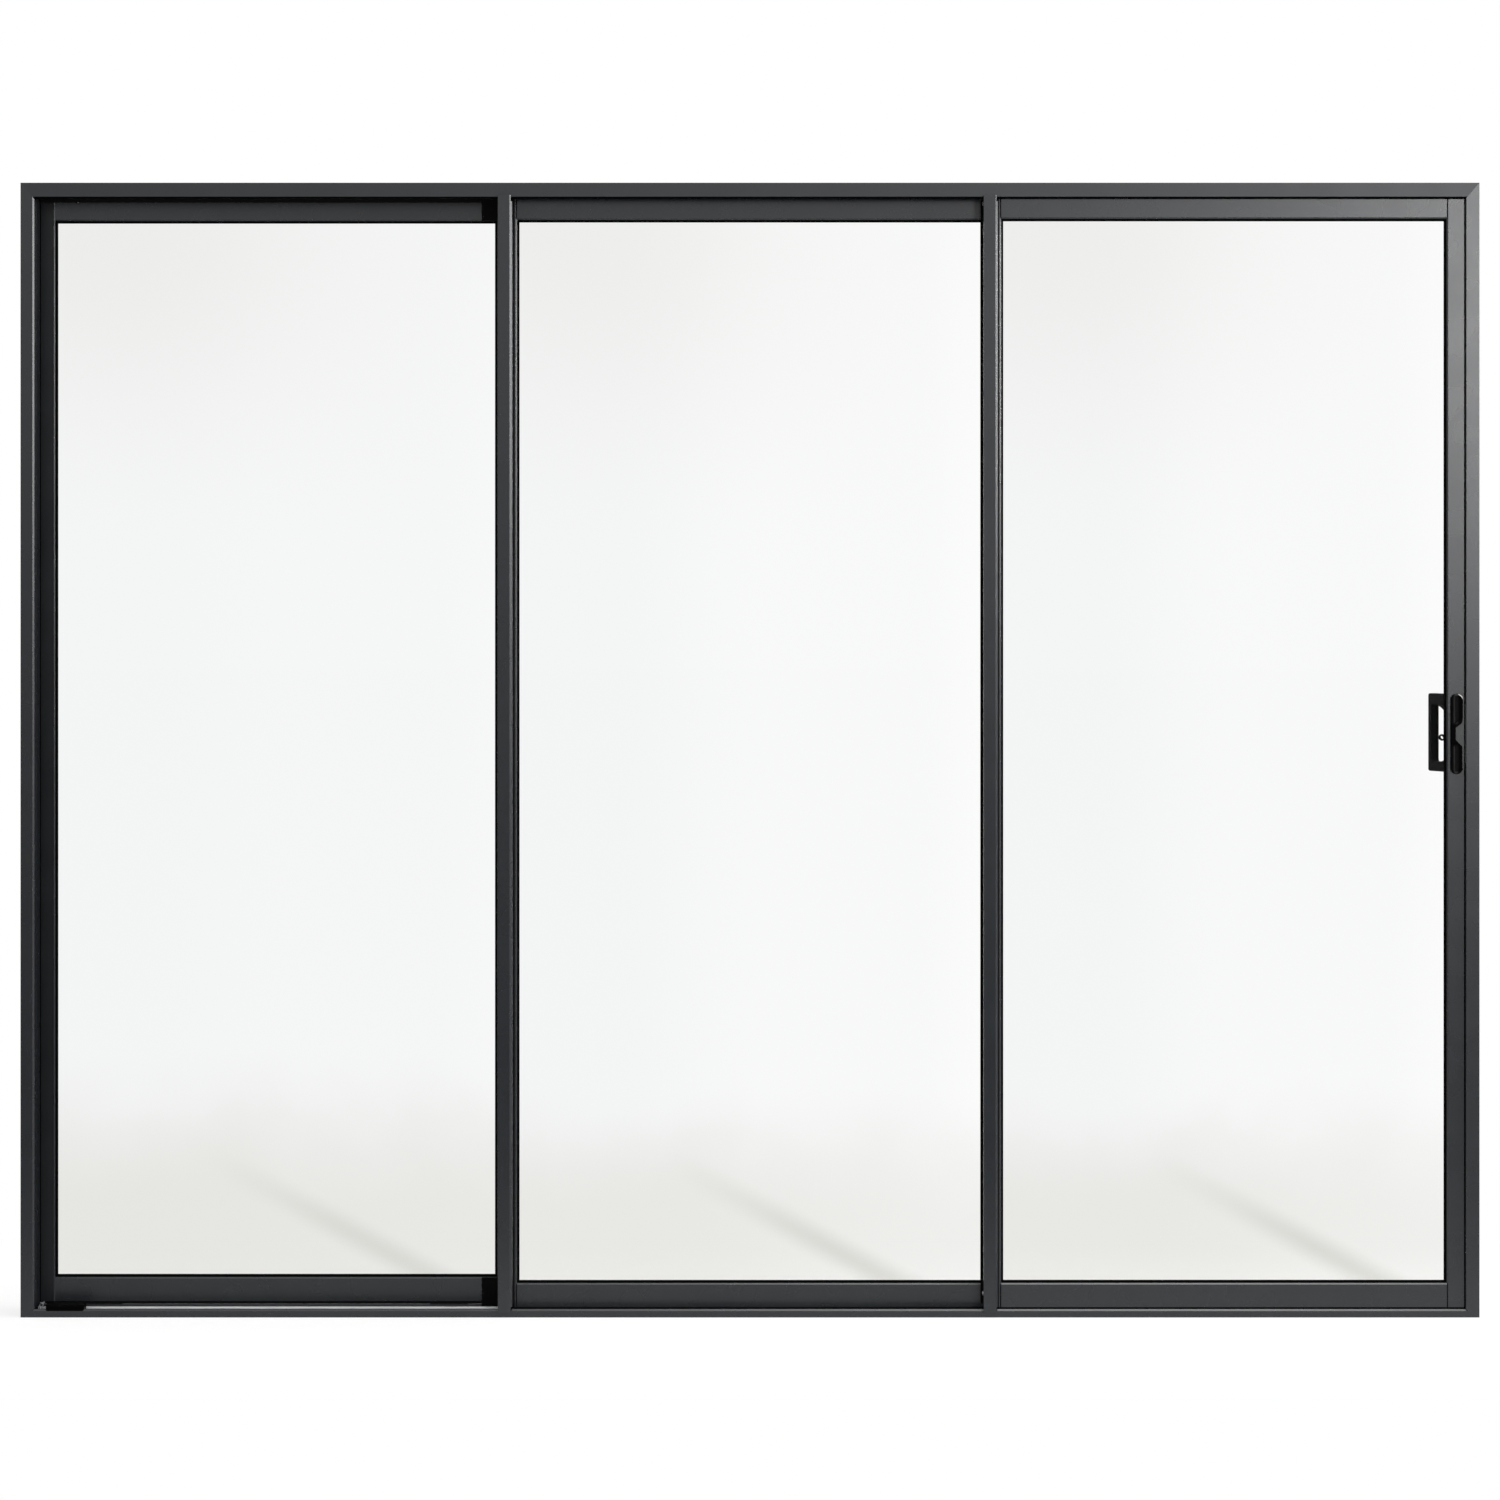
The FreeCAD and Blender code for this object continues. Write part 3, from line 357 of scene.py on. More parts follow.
def float_glass(name, left, right, foot, sheen):
    """Toughened float glass, clear, with painted shade that darkens it towards the sill.

    The painted shade ends about 0.4 m above the foot, stands for darker reflections in the glass, and holds
    a slanted streak of painted shade; a second, faint painted shade darkens the top left corner. Sheen says
    how much painted highlight lightens the pane towards its right edge. Square on, the pane mirrors little,
    as one that is coated against glare does, so the black inside pull stays black behind it."""
    material, tree, shader = new_material(name, GLASS_CLEAR, roughness=0.0, IOR=IOR_GLASS,
                                          Transmission_Weight=1.0, Specular_Tint=GLASS_MIRROR)
    width = right - left
    corner = (-left, 0, -foot)
    cloud = patches(tree, size=260.0, detail=2.0, offset=corner)
    parts = add_node(tree, SPLIT, {"Vector": place_on_piece(tree, corner)})
    across, up = parts["X"], parts["Z"]

    # Painted highlight: each tone grows lighter towards the pane's right edge, more with sheen
    tones = []
    for start, end, least, most, low_tone, high_tone in PAINTED_GRADIENTS:
        gain = add_node(tree, STEP, {"Value": across, "From Min": start * width, "From Max": end * width,
                                     "To Min": least * sheen, "To Max": most * sheen}, **EASED)["Result"]
        tones.append(add_node(tree, MIX, {"Factor": gain, COLOUR_A: low_tone, COLOUR_B: high_tone},
                              data_type="RGBA")[COLOUR_OUT])
    lit_tone, shaded_tone = tones
    # Painted highlight: the last stretch of a pane grows lighter still
    edge = add_node(tree, STEP, {"Value": across, "From Min": EDGE_START * width, "From Max": width,
                                 "To Max": EDGE_GAIN * sheen}, **EASED)["Result"]
    darkening = painted_shade_share(tree, cloud, across, up, width, sheen)
    streak = shaded_streak(tree, across, up)
    tone = lit_tone
    for share, other in ((edge, GLASS_HIGHLIGHT), (darkening, shaded_tone), (streak, GLASS_STREAK_SHADE)):
        tone = add_node(tree, MIX, {"Factor": share, COLOUR_A: tone, COLOUR_B: other},
                        data_type="RGBA")[COLOUR_OUT]
    tree.links.new(tone, shader.inputs["Base Color"])

    path = add_node(tree, "ShaderNodeLightPath", {})
    shade = add_node(tree, "ShaderNodeBsdfTransparent", {"Color": GLASS_CLEAR})
    mixed = add_node(tree, "ShaderNodeMixShader",
                     {0: path["Is Shadow Ray"], 1: shader.outputs[0], 2: shade[0]})
    tree.links.new(mixed[0], tree.nodes["Material Output"].inputs["Surface"])
    return material


def rubber():
    """EPDM glazing gasket, extruded: matt black."""
    material, tree, shader = new_material("epdm_rubber", RUBBER, roughness=0.8, IOR=IOR_RUBBER,
                                          Specular_IOR_Level=0.03)
    press_relief(tree, shader, patches(tree, size=2.0), strength=0.1, depth=0.5)
    return material


def track_steel(name="brushed_stainless", tone=STEEL, tone_light=STEEL_RUBBED):
    """Stainless cap strip, brushed along its length: satin lines, and brighter where wheels rub it."""
    material, tree, shader = new_material(name, tone, roughness=0.5, Metallic=1.0)
    lines = patches(tree, size=1.0, stretch=(0.02, 1, 1))
    press_relief(tree, shader, lines, strength=0.1, depth=0.3)
    drift_colour(tree, shader, patches(tree, size=40.0, stretch=(0.2, 1, 1)), tone, tone_light)
    drift_gloss(tree, shader, lines, low=0.45, high=0.6)
    return material


def black_casting():
    """Zinc die casting with a fine matt black powder coat. A strip of higher gloss, a painted highlight,
    runs along the outside pull's body, left of its middle, above and below the bite; a pale painted
    highlight lies on its top corner.

    That pale highlight is the upper right of a ring round the centre of the pull's top end."""
    material, tree, shader = new_material("black_casting", BLACK_CASTING, roughness=0.5, IOR=IOR_PAINT,
                                          Specular_IOR_Level=CASTING_GLOSS)
    press_relief(tree, shader, patches(tree, size=2.5), strength=0.15, depth=0.4)
    drift_gloss(tree, shader, patches(tree, size=6.0), low=0.42, high=0.58)
    place = place_on_piece(tree, offset=tuple(-value for value in PULL_TOP))
    parts = add_node(tree, SPLIT, {"Vector": place})
    front = add_node(tree, MATHS, {0: parts["Y"], 1: PULL_FRONT}, operation="LESS_THAN")[0]

    # Pale painted highlight on the upper right of a ring at the pull's top end
    flat = add_node(tree, "ShaderNodeVectorMath", {0: place, 1: (1, 0, 1)}, operation="MULTIPLY")["Vector"]
    reach = add_node(tree, "ShaderNodeVectorMath", {0: flat}, operation="LENGTH")["Value"]
    ring = add_node(tree, MATHS, {0: reach, 1: GLINT_RADIUS, 2: GLINT_WIDTH / 2}, operation="COMPARE")[0]
    corner = add_node(tree, MATHS, {0: parts["X"], 1: parts["Z"]}, operation="ADD")[0]
    corner = add_node(tree, STEP, {"Value": corner, "From Min": GLINT_FROM, "From Max": GLINT_TO})["Result"]
    glint = add_node(tree, MATHS, {0: ring, 1: corner}, operation="MULTIPLY")[0]
    glint = add_node(tree, MATHS, {0: glint, 1: front}, operation="MULTIPLY")[0]
    drift_colour(tree, shader, glint, BLACK_CASTING, CASTING_GLINT)

    # Painted highlight: a strip of higher gloss on the pull's front, left of its middle, above and below the
    # bite
    spans = []
    for part, middle, start, end, within, beyond in GLOSS_STRIP:
        away = add_node(tree, MATHS, {0: parts[part], 1: middle}, operation="ADD")[0]
        away = add_node(tree, MATHS, {0: away}, operation="ABSOLUTE")[0]
        spans.append(add_node(tree, STEP, {"Value": away, "From Min": start, "From Max": end,
                                           "To Min": within, "To Max": beyond}, **EASED)["Result"])
    strip_gloss = add_node(tree, MATHS, {0: spans[0], 1: spans[1]}, operation="MULTIPLY")[0]
    gloss = add_node(tree, MIX, {"Factor": front, NUMBER_A: CASTING_GLOSS, NUMBER_B: strip_gloss},
                     data_type="FLOAT")[0]
    tree.links.new(gloss, shader.inputs["Specular IOR Level"])
    return material


def zinc_plate():
    """Zinc-plated pressed steel: a satin grey sheen with cloudy patches of passivation."""
    material, tree, shader = new_material("zinc_plate", ZINC, roughness=0.35, Metallic=1.0)
    press_relief(tree, shader, patches(tree, size=2.0), strength=0.08, depth=0.3)
    drift_gloss(tree, shader, patches(tree, size=9.0), low=0.28, high=0.45)
    return material


def moulded_nylon(name="moulded_nylon", tone=NYLON, gloss=0.3):
    """Glass-filled nylon, moulded: dark and matt with a faint pebble. The stop block's is blacker."""
    material, tree, shader = new_material(name, tone, roughness=0.55, IOR=IOR_NYLON,
                                          Specular_IOR_Level=gloss)
    press_relief(tree, shader, patches(tree, size=1.5), strength=0.12, depth=0.3)
    return material


def pile_fabric():
    """Woven polypropylene pile: short dense upright fibres that swallow light. They are drawn 1.2 mm apart;
    the real 0.1 mm is too fine to show."""
    material, tree, shader = new_material("woven_pile", PILE, roughness=0.95, IOR=IOR_PAINT,
                                          Specular_IOR_Level=0.02)
    fibres = patches(tree, size=1.2, stretch=(1, 0.2, 1))
    press_relief(tree, shader, fibres, strength=0.6, depth=0.6)
    drift_colour(tree, shader, fibres, PILE, PILE_LIGHT)
    return material


def torn_sealant():
    """Silicone sealant, torn into strands when the door was taken out: soft grey, slightly see-through."""
    material, tree, shader = new_material("torn_sealant", SEALANT, roughness=0.45, IOR=IOR_SILICONE,
                                          Subsurface_Weight=0.2, Subsurface_Scale=0.001)
    press_relief(tree, shader, patches(tree, size=1.5), strength=0.3, depth=0.4)
    return material


FINISHES = {
    "charcoal_coat": powder_coat,
    "gasket": rubber,
    "track_steel": track_steel,
    "black_moulding": black_casting,
    "lock_steel": zinc_plate,
    "nylon": moulded_nylon,
    "pile": pile_fabric,
}


def dress(node, material):
    """Gives a node of the frame one material all over."""
    piece = frame["nodes"][node]
    if not piece.material_slots:
        piece.data.materials.append(material)
    for entry in piece.material_slots:
        entry.material = material


def dress_nodes():
    """Gives every node of the frame the material of its slot, and each pane its own painted shade and
    highlight.
    Five members then take a variant of their finish, as the photograph shows them."""
    made = {slot: make() for slot, make in FINISHES.items()}
    for part in frame["record"]["subparts"]:
        node, slot = part["node"], part["material_slot"]
        if slot == "glass":
            low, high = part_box(node)
            name = node.replace("_panel_glass", "_float_glass")
            dress(node, float_glass(name, low[0], high[0], low[2], SHEEN[node]))
        else:
            dress(node, made[slot])
    dress("head", powder_coat("head_powder_coat", roughness=0.38, gloss=0.46))
    # The fixed panel's left stile takes a darker, less glossy copy of the coat: painted shade of its recess.
    dress("left_panel_left_stile", powder_coat("shaded_recess_powder_coat", CHARCOAL_SHADE, CHARCOAL, 0.36, 0.27))
    dress("right_panel_cover", powder_coat("cover_powder_coat", roughness=0.25, gloss=0.48))
    dress("stop_block", moulded_nylon("matt_moulding", BLOCK, 0.02))
    # The rear track takes a much darker steel tone all over: painted shade under the fixed panel.
    dress("rear_track", track_steel("shaded_stainless", STEEL_SHADE, STEEL_SHADE))
    return made


def new_piece(name, points, faces, material, body, slot, smooth_angle=35):
    """Makes a mesh object that rides on a body; its faces are turned outwards by the sign of its volume."""
    points = np.asarray(points, float)
    faces = [tuple(face) for face in faces]
    corners = np.array([(f[0], f[i], f[i + 1]) for f in faces for i in range(1, len(f) - 1)])
    a, b, c = (points[corners[:, i]] for i in range(3))
    if np.einsum("ij,ij->i", a, np.cross(b, c)).sum() < 0:
        faces = [face[::-1] for face in faces]
    mesh = bpy.data.meshes.new(name)
    mesh.from_pydata(points.tolist(), [], faces)
    mesh.polygons.foreach_set("use_smooth", np.ones(len(faces), bool))
    mesh.set_sharp_from_angle(angle=math.radians(smooth_angle))
    mesh.materials.append(material)
    piece = bpy.data.objects.new(name, mesh)
    bpy.context.scene.collection.objects.link(piece)
    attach(piece, body)


def swept_sides(stations, around):
    """Quads between the stations of a closed section that is carried along a path."""
    i, j = np.meshgrid(np.arange(stations - 1), np.arange(around), indexing="ij")
    k = (j + 1) % around
    quads = np.stack([i * around + j, i * around + k, (i + 1) * around + k, (i + 1) * around + j], -1)
    return quads.reshape(-1, 4).tolist()


def swept_faces(stations, around):
    """Faces of a closed section that is carried along a path, with a cap at each end."""
    caps = [range(around - 1, -1, -1), range((stations - 1) * around, stations * around)]
    return swept_sides(stations, around) + caps


def join_shapes(shapes):
    """Many (points, faces) shapes as one, with the faces' numbers moved along."""
    points, faces, count = [], [], 0
    for some_points, some_faces in shapes:
        points.append(some_points)
        faces += [tuple(index + count for index in face) for face in some_faces]
        count += len(some_points)
    return np.concatenate(points), faces


def section_at(corner, spots, brushed=False):
    """Section in metres from spots in millimetres round a corner, and how its points move as fibres.

    In a brush the last two of four points, the tips, move the way from the root to them."""
    section = np.array(corner) + MM * np.array(spots, float)
    tip = np.zeros_like(section)
    if brushed:
        way = section[2] + section[3] - section[0] - section[1]
        tip[2:] = way / np.linalg.norm(way)
    return section, tip


def straight_strip(section, tip, axis, start, end, spacing, ragged, seed):
    """Closed section carried along X or Z. The points that tip gives a way move along it, in and out
    by up to ragged, station by station, which gives the uneven edge of cut fibres.

    section is (n, 2) in the two other axes, in metres; tip is (n, 2), how far each point moves."""
    stations = max(2, int(round((end - start) / spacing)))
    jitter = np.random.default_rng(seed).uniform(-1, 1, stations)
    points = np.empty((stations, len(section), 3))
    others = [i for i in range(3) if i != axis]
    points[..., axis] = np.linspace(start, end, stations)[:, None]
    points[..., others] = section[None] + ragged * jitter[:, None, None] * tip[None]
    return points.reshape(-1, 3), swept_faces(stations, len(section))


def add_strip(made, name, section, run, fibres, seed, body, slot):
    """Strip that rides on a body. section is what section_at gives, run is its axis, start and end,
    and fibres is the distance between its stations and how ragged its tips are."""
    shape = straight_strip(*section, *run, *fibres, seed)
    new_piece(name, *shape, made[slot], body, slot)


def add_seals(made):
    """Black pile and rubber fins that close the running gaps, each carried by the member it is fixed to;
    their black paints the shade of the gaps.
    """
    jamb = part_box("right_jamb")[0][0]
    lip_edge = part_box("head")[1][2] - HEAD_LIP
    run = (ALONG_X, -jamb, jamb)
    # A black rubber bead under the head's lip: a seal whose black paints the shade of the gap behind the
    # lip.
    add_strip(made, "head_shade_bead", section_at((FRONT, lip_edge), HEAD_BEAD), run, PLAIN, 1, "frame", "gasket")

    # Black brushes under the moving panels' bottom rails and black pile beside their covers: seals whose
    # black paints the shade of the gaps.
    for body, seed in (("middle_panel", 3), ("right_panel", 5)):
        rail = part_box(body + "_bottom_rail")[0]
        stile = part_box(body + "_left_stile")[0]
        far_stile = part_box(body + "_right_stile")[1]
        section = section_at((rail[1], rail[2]), BOTTOM_BRUSH, True)
        run = (ALONG_X, stile[0] + BRUSH_END, far_stile[0] - BRUSH_END)
        add_strip(made, body + "_bottom_shade_brush", section, run, RAIL_FIBRES, seed, body, "pile")

        section = section_at((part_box(body + "_cover")[1][0], stile[1]), COVER_PILE, True)
        run = (ALONG_Z, stile[2], lip_edge)
        add_strip(made, body + "_cover_shade_pile", section, run, STILE_FIBRES, seed + 1, body, "pile")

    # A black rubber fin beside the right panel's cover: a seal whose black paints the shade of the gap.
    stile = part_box("right_panel_left_stile")[0]
    section = section_at((stile[0], FIN_BACK), FIN, True)
    run = (ALONG_Z, stile[2] + FIN_LOW, lip_edge - FIN_HIGH)
    add_strip(made, "right_panel_shade_fin", section, run, STILE_FIBRES, 9, "right_panel", "gasket")
    add_fixed_panel_seals(made, lip_edge)


def add_fixed_panel_seals(made, lip_edge):
    """Seals of the fixed panel: a wedge beside the jamb, brushes along both rails and a pad at each
    end of the interlock, and the fine bead along the stile's edge that catches the light. The black of the
    wedge, brushes and pads paints the shade in the gaps they fill."""
    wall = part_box("left_jamb")[1][0]
    stile_low, stile_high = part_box("left_panel_left_stile")
    face = stile_low[1]
    top_low, top_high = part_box("left_panel_top_rail")
    foot_low, foot_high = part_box("left_panel_bottom_rail")
    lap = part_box("middle_panel_left_stile")[0][0]
    run = (ALONG_Z, WEDGE_FOOT, lip_edge)
    add_strip(made, "left_panel_shade_wedge", section_at((wall, face), WEDGE), run, PLAIN, 2, "frame", "gasket")

    rise = (lip_edge - top_high[2]) / MM - TOP_BRUSH_GAP
    top_brush = ((0, -1), (-2.5, -1), (-2.2, rise), (0, rise))
    run = (ALONG_X, wall - BRUSH_END, lap)
    section = section_at((face, top_high[2]), top_brush, True)
    add_strip(made, "left_panel_top_shade_brush", section, run, RAIL_FIBRES, 11, "frame", "pile")
    section = section_at((face, foot_low[2]), BOTTOM_BRUSH, True)
    add_strip(made, "left_panel_bottom_shade_brush", section, run, RAIL_FIBRES, 13, "frame", "pile")

    # Soft black pads at both ends of the interlock: painted shade on the fixed panel's rails beside the
    # mullion.
    section = section_at((lap, face), PAD, True)
    run = (ALONG_Z, top_low[2] + PAD_END, top_high[2] - PAD_TOP)
    add_strip(made, "left_panel_top_shade_pad", section, run, PAD_FIBRES, 15, "frame", "pile")
    run = (ALONG_Z, foot_low[2] - PAD_DROP, foot_high[2] - PAD_END)
    add_strip(made, "left_panel_bottom_shade_pad", section, run, PAD_FIBRES, 17, "frame", "pile")

    section = section_at((stile_high[0], face), STILE_BEAD)
    run = (ALONG_Z, foot_low[2], lip_edge - BEAD_END)
    add_strip(made, "left_panel_stile_bead", section, run, PLAIN, 19, "frame", "charcoal_coat")


def screw(centre, outward, head, turn=0.0):
    """Cross-recess screw head that faces a level way. A profile (distance from the axis, height) is turned
    round the axis, domed as one minus a share of the square of the distance, and two crossed grooves
    press its middle down."""
    radius, height = head
    rings, around = 12, 40
    angle = np.linspace(0, 2 * math.pi, around, endpoint=False)
    r, a = np.meshgrid(np.linspace(0, 1, rings)[1:], angle, indexing="ij")
    nearest = np.minimum(np.abs(r * np.cos(a + turn)), np.abs(r * np.sin(a + turn)))
    groove = np.clip((GROOVE_HALF - nearest) / GROOVE_WALL, 0, 1)
    groove = groove * np.clip((GROOVE_END - r) / GROOVE_SLOPE, 0, 1)
    top = height * (1 - DOME_FALL * r ** 2) - groove * height * GROOVE_DEPTH
    centre, out = np.array(centre, float), np.array(outward, float)
    side = np.cross(out, (0, 0, 1))
    other = np.cross(out, side)
    spread = radius * ((r * np.cos(a))[..., None] * side + (r * np.sin(a))[..., None] * other)
    upper = centre + spread + top[..., None] * out
    grid = np.concatenate([upper, (centre + spread[-1])[None]]).reshape(-1, 3)
    pole = centre + height * (1 - GROOVE_DEPTH) * out
    points = np.concatenate([grid, [pole, centre]])

    j = np.arange(around)
    k = (j + 1) % around
    last = (rings - 1) * around
    upper_fan = np.stack([np.full(around, len(grid)), k, j], -1)
    lower_fan = np.stack([np.full(around, len(grid) + 1), last + j, last + k], -1)
    return points, swept_sides(rings, around) + upper_fan.tolist() + lower_fan.tolist()


def end_screws(box, spot, outward, head, inset):
    """Two screws at a spot (x, y) of a member, an inset away from its lower and its upper end."""
    low, high = box
    return [screw((*spot, z), outward, head, turn=z) for z in (low[2] + inset, high[2] - inset)]


def add_screws(made):
    """Screws of the frame, the keeper, the lock, the inside pull and the panels' corners, and the rivet
    with its washer in the head's channel."""
    zinc = made["lock_steel"]
    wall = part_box("right_jamb")[0][0] + JAMB_POCKET
    shapes = [screw((side * wall, 0, z), (-side, 0, 0), FRAME_HEAD, turn=0.4 * z)
              for side in (-1, 1) for z in FIXING_HEIGHTS]
    low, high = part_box("keeper")
    shapes += end_screws((low, high), (low[0], (low[1] + high[1]) / 2), (-1, 0, 0), KEEPER_HEAD, inset=0.012)
    new_piece("frame_screws", *join_shapes(shapes), zinc, "frame", "lock_steel")

    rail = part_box("left_panel_top_rail")[0]
    x, z = RIVET_SPOT
    shape = screw((x, rail[1], z), (0, -1, 0), WASHER)
    new_piece("head_channel_washer", *shape, made["black_moulding"], "frame", "black_moulding")
    shape = screw((x, rail[1] - WASHER[1] * RIVET_SEAT, z), (0, -1, 0), RIVET, turn=0.6)
    new_piece("head_channel_rivet", *shape, zinc, "frame", "lock_steel")

    low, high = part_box("lock_case")
    shapes = end_screws((low, high), (high[0], (low[1] + high[1]) / 2), (1, 0, 0), LOCK_HEAD, inset=0.010)
    shapes += [screw((PULL_SCREW_ACROSS, PULL_PLATE, z), (0, 1, 0), PULL_HEAD, turn=z)
               for z in PULL_SCREW_HEIGHTS]
    new_piece("lock_screws", *join_shapes(shapes), zinc, "right_panel", "lock_steel")

    for body, track in PANEL_TRACKS.items():
        low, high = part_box(body + "_left_stile")
        shapes = end_screws((low, high), (low[0], track), (-1, 0, 0), CORNER_HEAD, inset=0.024)
        new_piece(body + "_corner_screws", *join_shapes(shapes), zinc, body, "lock_steel")


def smooth_path(spots, samples):
    """Curve through given points: Catmull-Rom, each run a cubic of its own and its neighbours' points."""
    spots = np.asarray(spots, float)
    padded = np.concatenate([[2 * spots[0] - spots[1]], spots, [2 * spots[-1] - spots[-2]]])
    t = np.linspace(0, len(spots) - 1, samples)
    run = np.minimum(t.astype(int), len(spots) - 2)
    f = (t - run)[:, None]
    p0, p1, p2, p3 = (padded[run + k] for k in range(4))
    return 0.5 * (2 * p1 + (p2 - p0) * f + (2 * p0 - 5 * p1 + 4 * p2 - p3) * f ** 2 +
                  (3 * p1 - p0 - 3 * p2 + p3) * f ** 3)


def strand(spots, radii, flatness, seed):
    """Torn strand: an ellipse carried along a curve. Its size runs through the given radii, times one plus
    a small sine wave, which gives the lumps; the seed sets the wave's length."""
    stations, around = 36, 12
    path = smooth_path(spots, stations)
    tangent = np.gradient(path, axis=0)
    tangent /= np.linalg.norm(tangent, axis=1, keepdims=True)
    side = np.cross(tangent, (0, 1, 0))
    side /= np.linalg.norm(side, axis=1, keepdims=True)
    deep = np.cross(side, tangent)
    size = np.interp(np.linspace(0, 1, stations), np.linspace(0, 1, len(radii)), radii)
    size = size * (1 + LUMP_HEIGHT * np.sin(np.linspace(0, LUMP_RUN + seed, stations)))
    angle = np.linspace(0, 2 * math.pi, around, endpoint=False)[None, :, None]
    ring = np.cos(angle) * side[:, None] + flatness * np.sin(angle) * deep[:, None]
    points = path[:, None] + size[:, None, None] * ring
    return points.reshape(-1, 3), swept_faces(stations, around)


def add_torn_sealant():
    """Three torn strands of sealant in the sill's left corner, standing on its floor beside the jamb:
    the spots and the radii along each, how flat it is, and its seed."""
    y = -0.0455
    strands = [
        strand([(-1.3147, y, 0.0261), (-1.3108, y - 0.001, 0.0252), (-1.3060, y, 0.0278)],
               [0.0008, 0.0016, 0.0019, 0.0014, 0.0006], 0.6, 1),
        strand([(-1.3148, y, 0.0232), (-1.3163, y, 0.0190), (-1.3160, y, 0.0140), (-1.3158, y, 0.0062)],
               [0.0006, 0.0014, 0.0011, 0.0008], 0.7, 2),
        strand([(-1.3092, y, 0.0248), (-1.3097, y, 0.0212), (-1.3117, y, 0.0176), (-1.3104, y, 0.0138),
                (-1.3076, y, 0.0100), (-1.3072, y, 0.0062)],
               [0.0009, 0.0013, 0.0012, 0.0011, 0.0010], 0.7, 3),
    ]
    new_piece("torn_sealant", *join_shapes(strands), torn_sealant(), "frame", "gasket", smooth_angle=60)


def add_camera():
    """Level camera, whose lens and vertical shift give the photograph's frame."""
    data = bpy.data.cameras.new("camera")
    data.sensor_width = SENSOR
    data.lens = SENSOR * CAMERA_DISTANCE / VIEW_WIDTH
    data.shift_y = CAMERA_SHIFT
    camera = bpy.data.objects.new("camera", data)
    camera.location = (0, FRONT - CAMERA_DISTANCE, CAMERA_HEIGHT)
    camera.rotation_euler = (math.pi / 2, 0, 0)
    bpy.context.scene.collection.objects.link(camera)
    bpy.context.scene.camera = camera


def add_softbox(name, centre, target, width, height, watts):
    """Rectangular soft light that faces a point."""
    data = bpy.data.lights.new(name, "AREA")
    data.shape = "RECTANGLE"
    data.size, data.size_y = width, height
    data.energy = watts
    light = bpy.data.objects.new(name, data)
    light.location = centre
    way = np.array(target) - np.array(centre)
    tilt = math.acos(-way[2] / np.linalg.norm(way))
    light.rotation_euler = (tilt, 0, math.atan2(way[1], way[0]) - math.pi / 2)
    bpy.context.scene.collection.objects.link(light)


def add_world():
    """White surround for the camera, through glass and behind the door in gloss. Gloss in front of the
    door sees a room lit from above and dimmer at the left, and all other light is one plain level."""
    world = bpy.data.worlds.new("studio")
    bpy.context.scene.world = world
    world.use_nodes = True
    tree = world.node_tree
    tree.nodes.clear()
    way = add_node(tree, "ShaderNodeTexCoord", {})["Generated"]
    parts = add_node(tree, SPLIT, {"Vector": way})
    room = add_node(tree, STEP, {"Value": parts["Z"], "From Min": 0.0, "From Max": ROOM_RISE,
                                 "To Min": ROOM_LOW, "To Max": ROOM_HIGH})["Result"]
    side = add_node(tree, STEP, {"Value": parts["X"], "From Min": ROOM_LEFT, "From Max": ROOM_RIGHT,
                                 "To Min": ROOM_LEFT_SHARE, "To Max": 1.0})["Result"]
    room = add_node(tree, MATHS, {0: room, 1: side}, operation="MULTIPLY")[0]
    behind = add_node(tree, STEP, {"Value": parts["Y"], "From Min": BEHIND_START,
                                   "From Max": BEHIND_END})["Result"]
    path = add_node(tree, "ShaderNodeLightPath", {})
    seen = add_node(tree, MATHS, {0: path["Is Camera Ray"], 1: path["Is Transmission Ray"]},
                    operation="MAXIMUM")[0]
    gloss = add_node(tree, MIX, {"Factor": behind, NUMBER_A: room, NUMBER_B: 1.0}, data_type="FLOAT")[0]
    level = add_node(tree, MIX, {"Factor": path["Is Glossy Ray"], NUMBER_A: PLAIN_LEVEL, NUMBER_B: gloss},
                     data_type="FLOAT")[0]
    level = add_node(tree, MIX, {"Factor": seen, NUMBER_A: level, NUMBER_B: 1.0}, data_type="FLOAT")[0]
    white = add_node(tree, "ShaderNodeBackground", {"Strength": level, "Color": (1, 1, 1, 1)})
    add_node(tree, "ShaderNodeOutputWorld", {"Surface": white[0]})


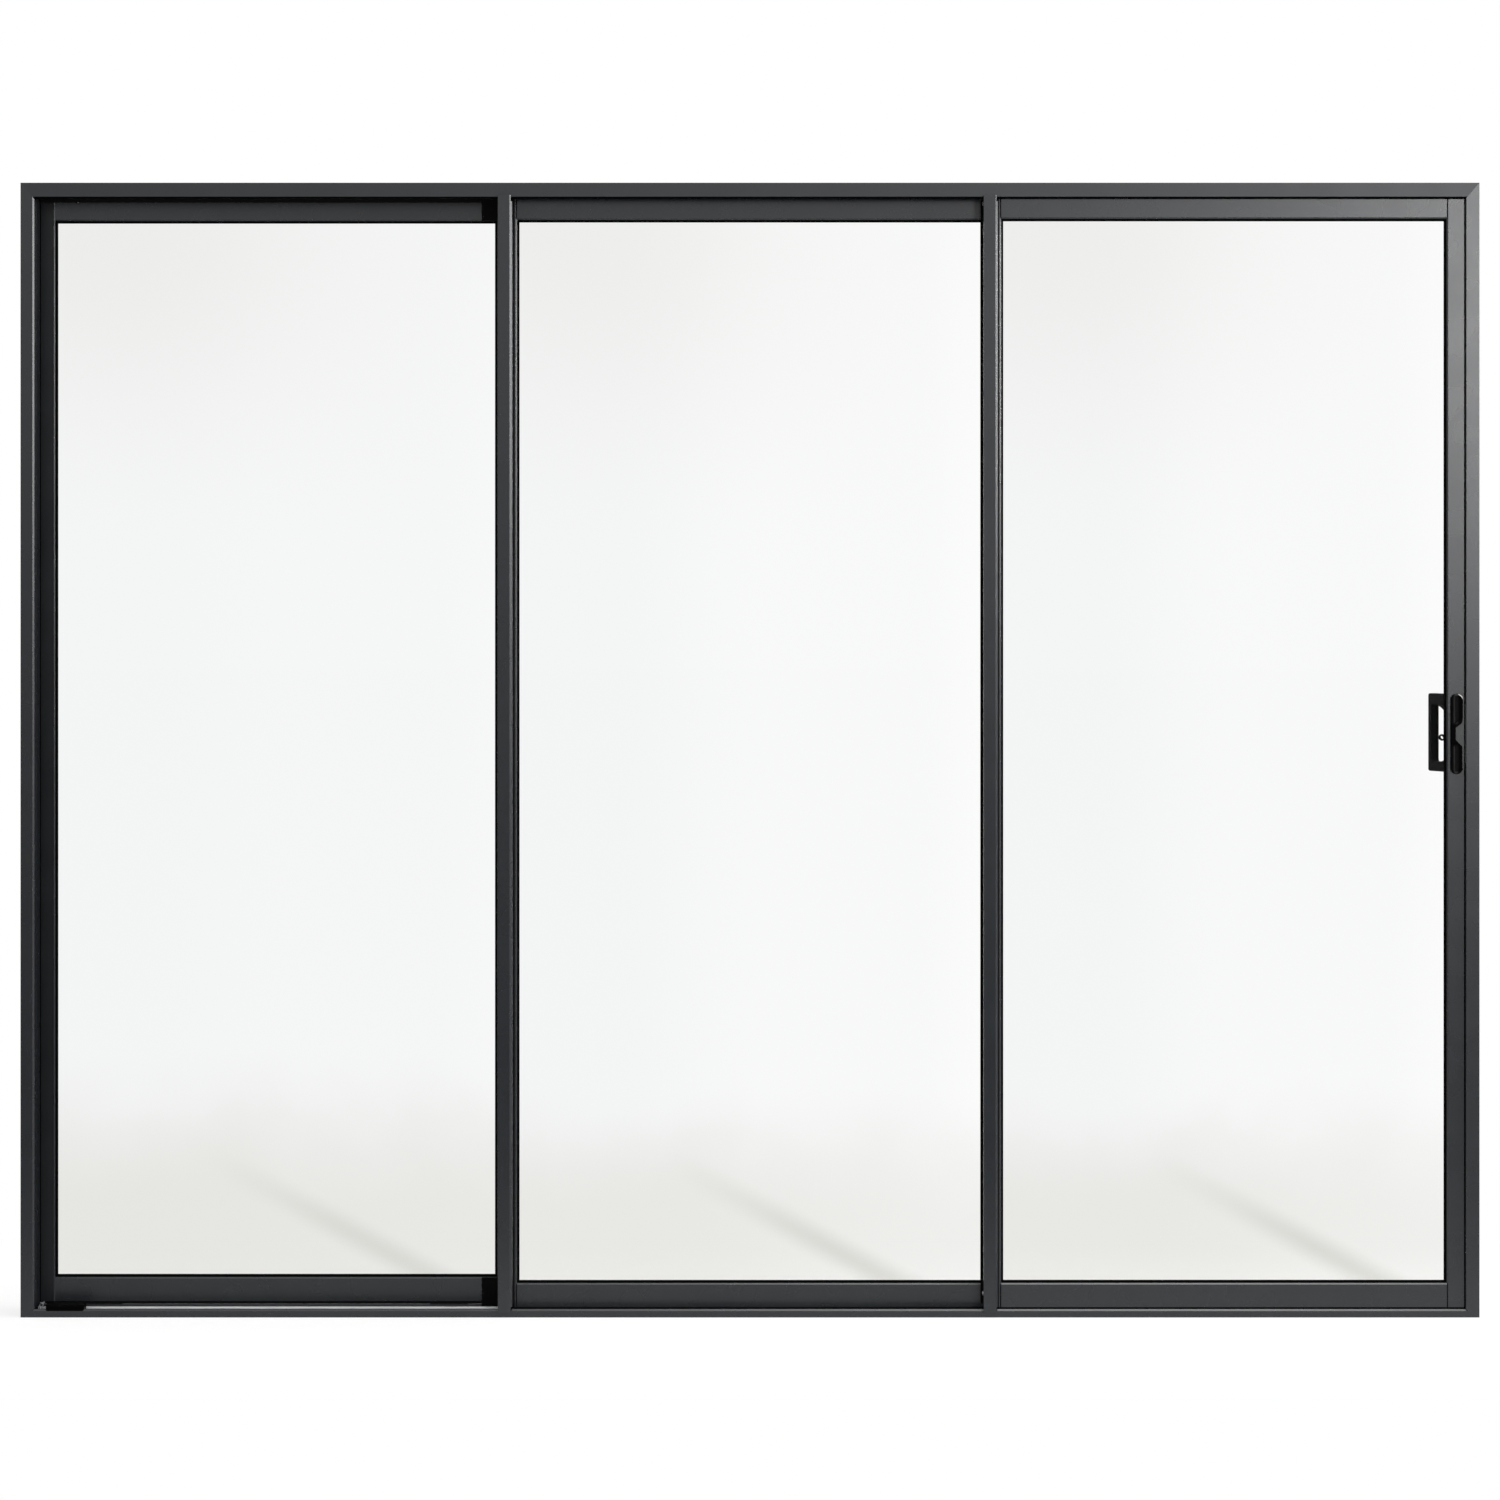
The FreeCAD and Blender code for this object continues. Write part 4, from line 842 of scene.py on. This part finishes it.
def add_floor():
    """Pale floor that turns white away from the door and keeps some of the door's shadow near it. In gloss
    it is pale close to the door and falls off in front and to the left, as a floor under a dim room does."""
    mesh = bpy.data.meshes.new("floor")
    corners = [(x * FLOOR_HALF, y * FLOOR_HALF, 0) for x, y in ((-1, -1), (1, -1), (1, 1), (-1, 1))]
    mesh.from_pydata(corners, [], [(0, 1, 2, 3)])
    floor = bpy.data.objects.new("floor", mesh)
    bpy.context.scene.collection.objects.link(floor)
    material, tree, shader = new_material("floor_paint", FLOOR, roughness=0.9)
    place = add_node(tree, "ShaderNodeTexCoord", {})["Object"]
    parts = add_node(tree, SPLIT, {"Vector": place})
    clear = []
    for axis, start, end in FLOOR_CLEARS:
        away = add_node(tree, MATHS, {0: parts[axis]}, operation="ABSOLUTE")[0]
        clear.append(add_node(tree, STEP, {"Value": away, "From Min": start, "From Max": end,
                                           "To Min": FLOOR_WHITE, "To Max": 1.0}, **EASED)["Result"])
    lift = add_node(tree, MATHS, {0: clear[0], 1: clear[1]}, operation="MAXIMUM")[0]
    gloss = add_node(tree, STEP, {"Value": parts["Y"], "From Min": FLOOR_FAR, "From Max": FLOOR_NEAR,
                                  "To Min": FLOOR_GLOSS_FAR, "To Max": FLOOR_GLOSS_NEAR}, **EASED)["Result"]
    side = add_node(tree, STEP, {"Value": parts["X"], "From Min": FLOOR_LEFT, "From Max": FLOOR_RIGHT,
                                 "To Min": FLOOR_LEFT_SHARE, "To Max": 1.0})["Result"]
    gloss = add_node(tree, MATHS, {0: gloss, 1: side}, operation="MULTIPLY")[0]
    path = add_node(tree, "ShaderNodeLightPath", {})
    seen = add_node(tree, MATHS, {0: path["Is Camera Ray"], 1: path["Is Transmission Ray"]},
                    operation="MAXIMUM")[0]
    seen = add_node(tree, MATHS, {0: seen, 1: path["Is Glossy Ray"]}, operation="MAXIMUM")[0]
    mirrored = add_node(tree, MATHS, {0: path["Is Glossy Ray"], 1: path["Is Transmission Ray"]},
                        operation="SUBTRACT", use_clamp=True)[0]
    strength = add_node(tree, MIX, {"Factor": mirrored, NUMBER_A: 1.0, NUMBER_B: gloss},
                        data_type="FLOAT")[0]
    share = add_node(tree, MATHS, {0: lift, 1: seen}, operation="MULTIPLY")[0]
    white = add_node(tree, "ShaderNodeEmission", {"Color": (1, 1, 1, 1), "Strength": strength})
    mixed = add_node(tree, "ShaderNodeMixShader", {0: share, 1: shader.outputs[0], 2: white[0]})
    tree.links.new(mixed[0], tree.nodes["Material Output"].inputs["Surface"])
    mesh.materials.append(material)


materials = dress_nodes()
add_camera()
add_seals(materials)
add_screws(materials)
add_torn_sealant()
add_world()
add_floor()
for title, settings in SOFTBOXES.items():
    add_softbox(title, *settings)
bpy.context.scene.view_settings.view_transform = "Standard"
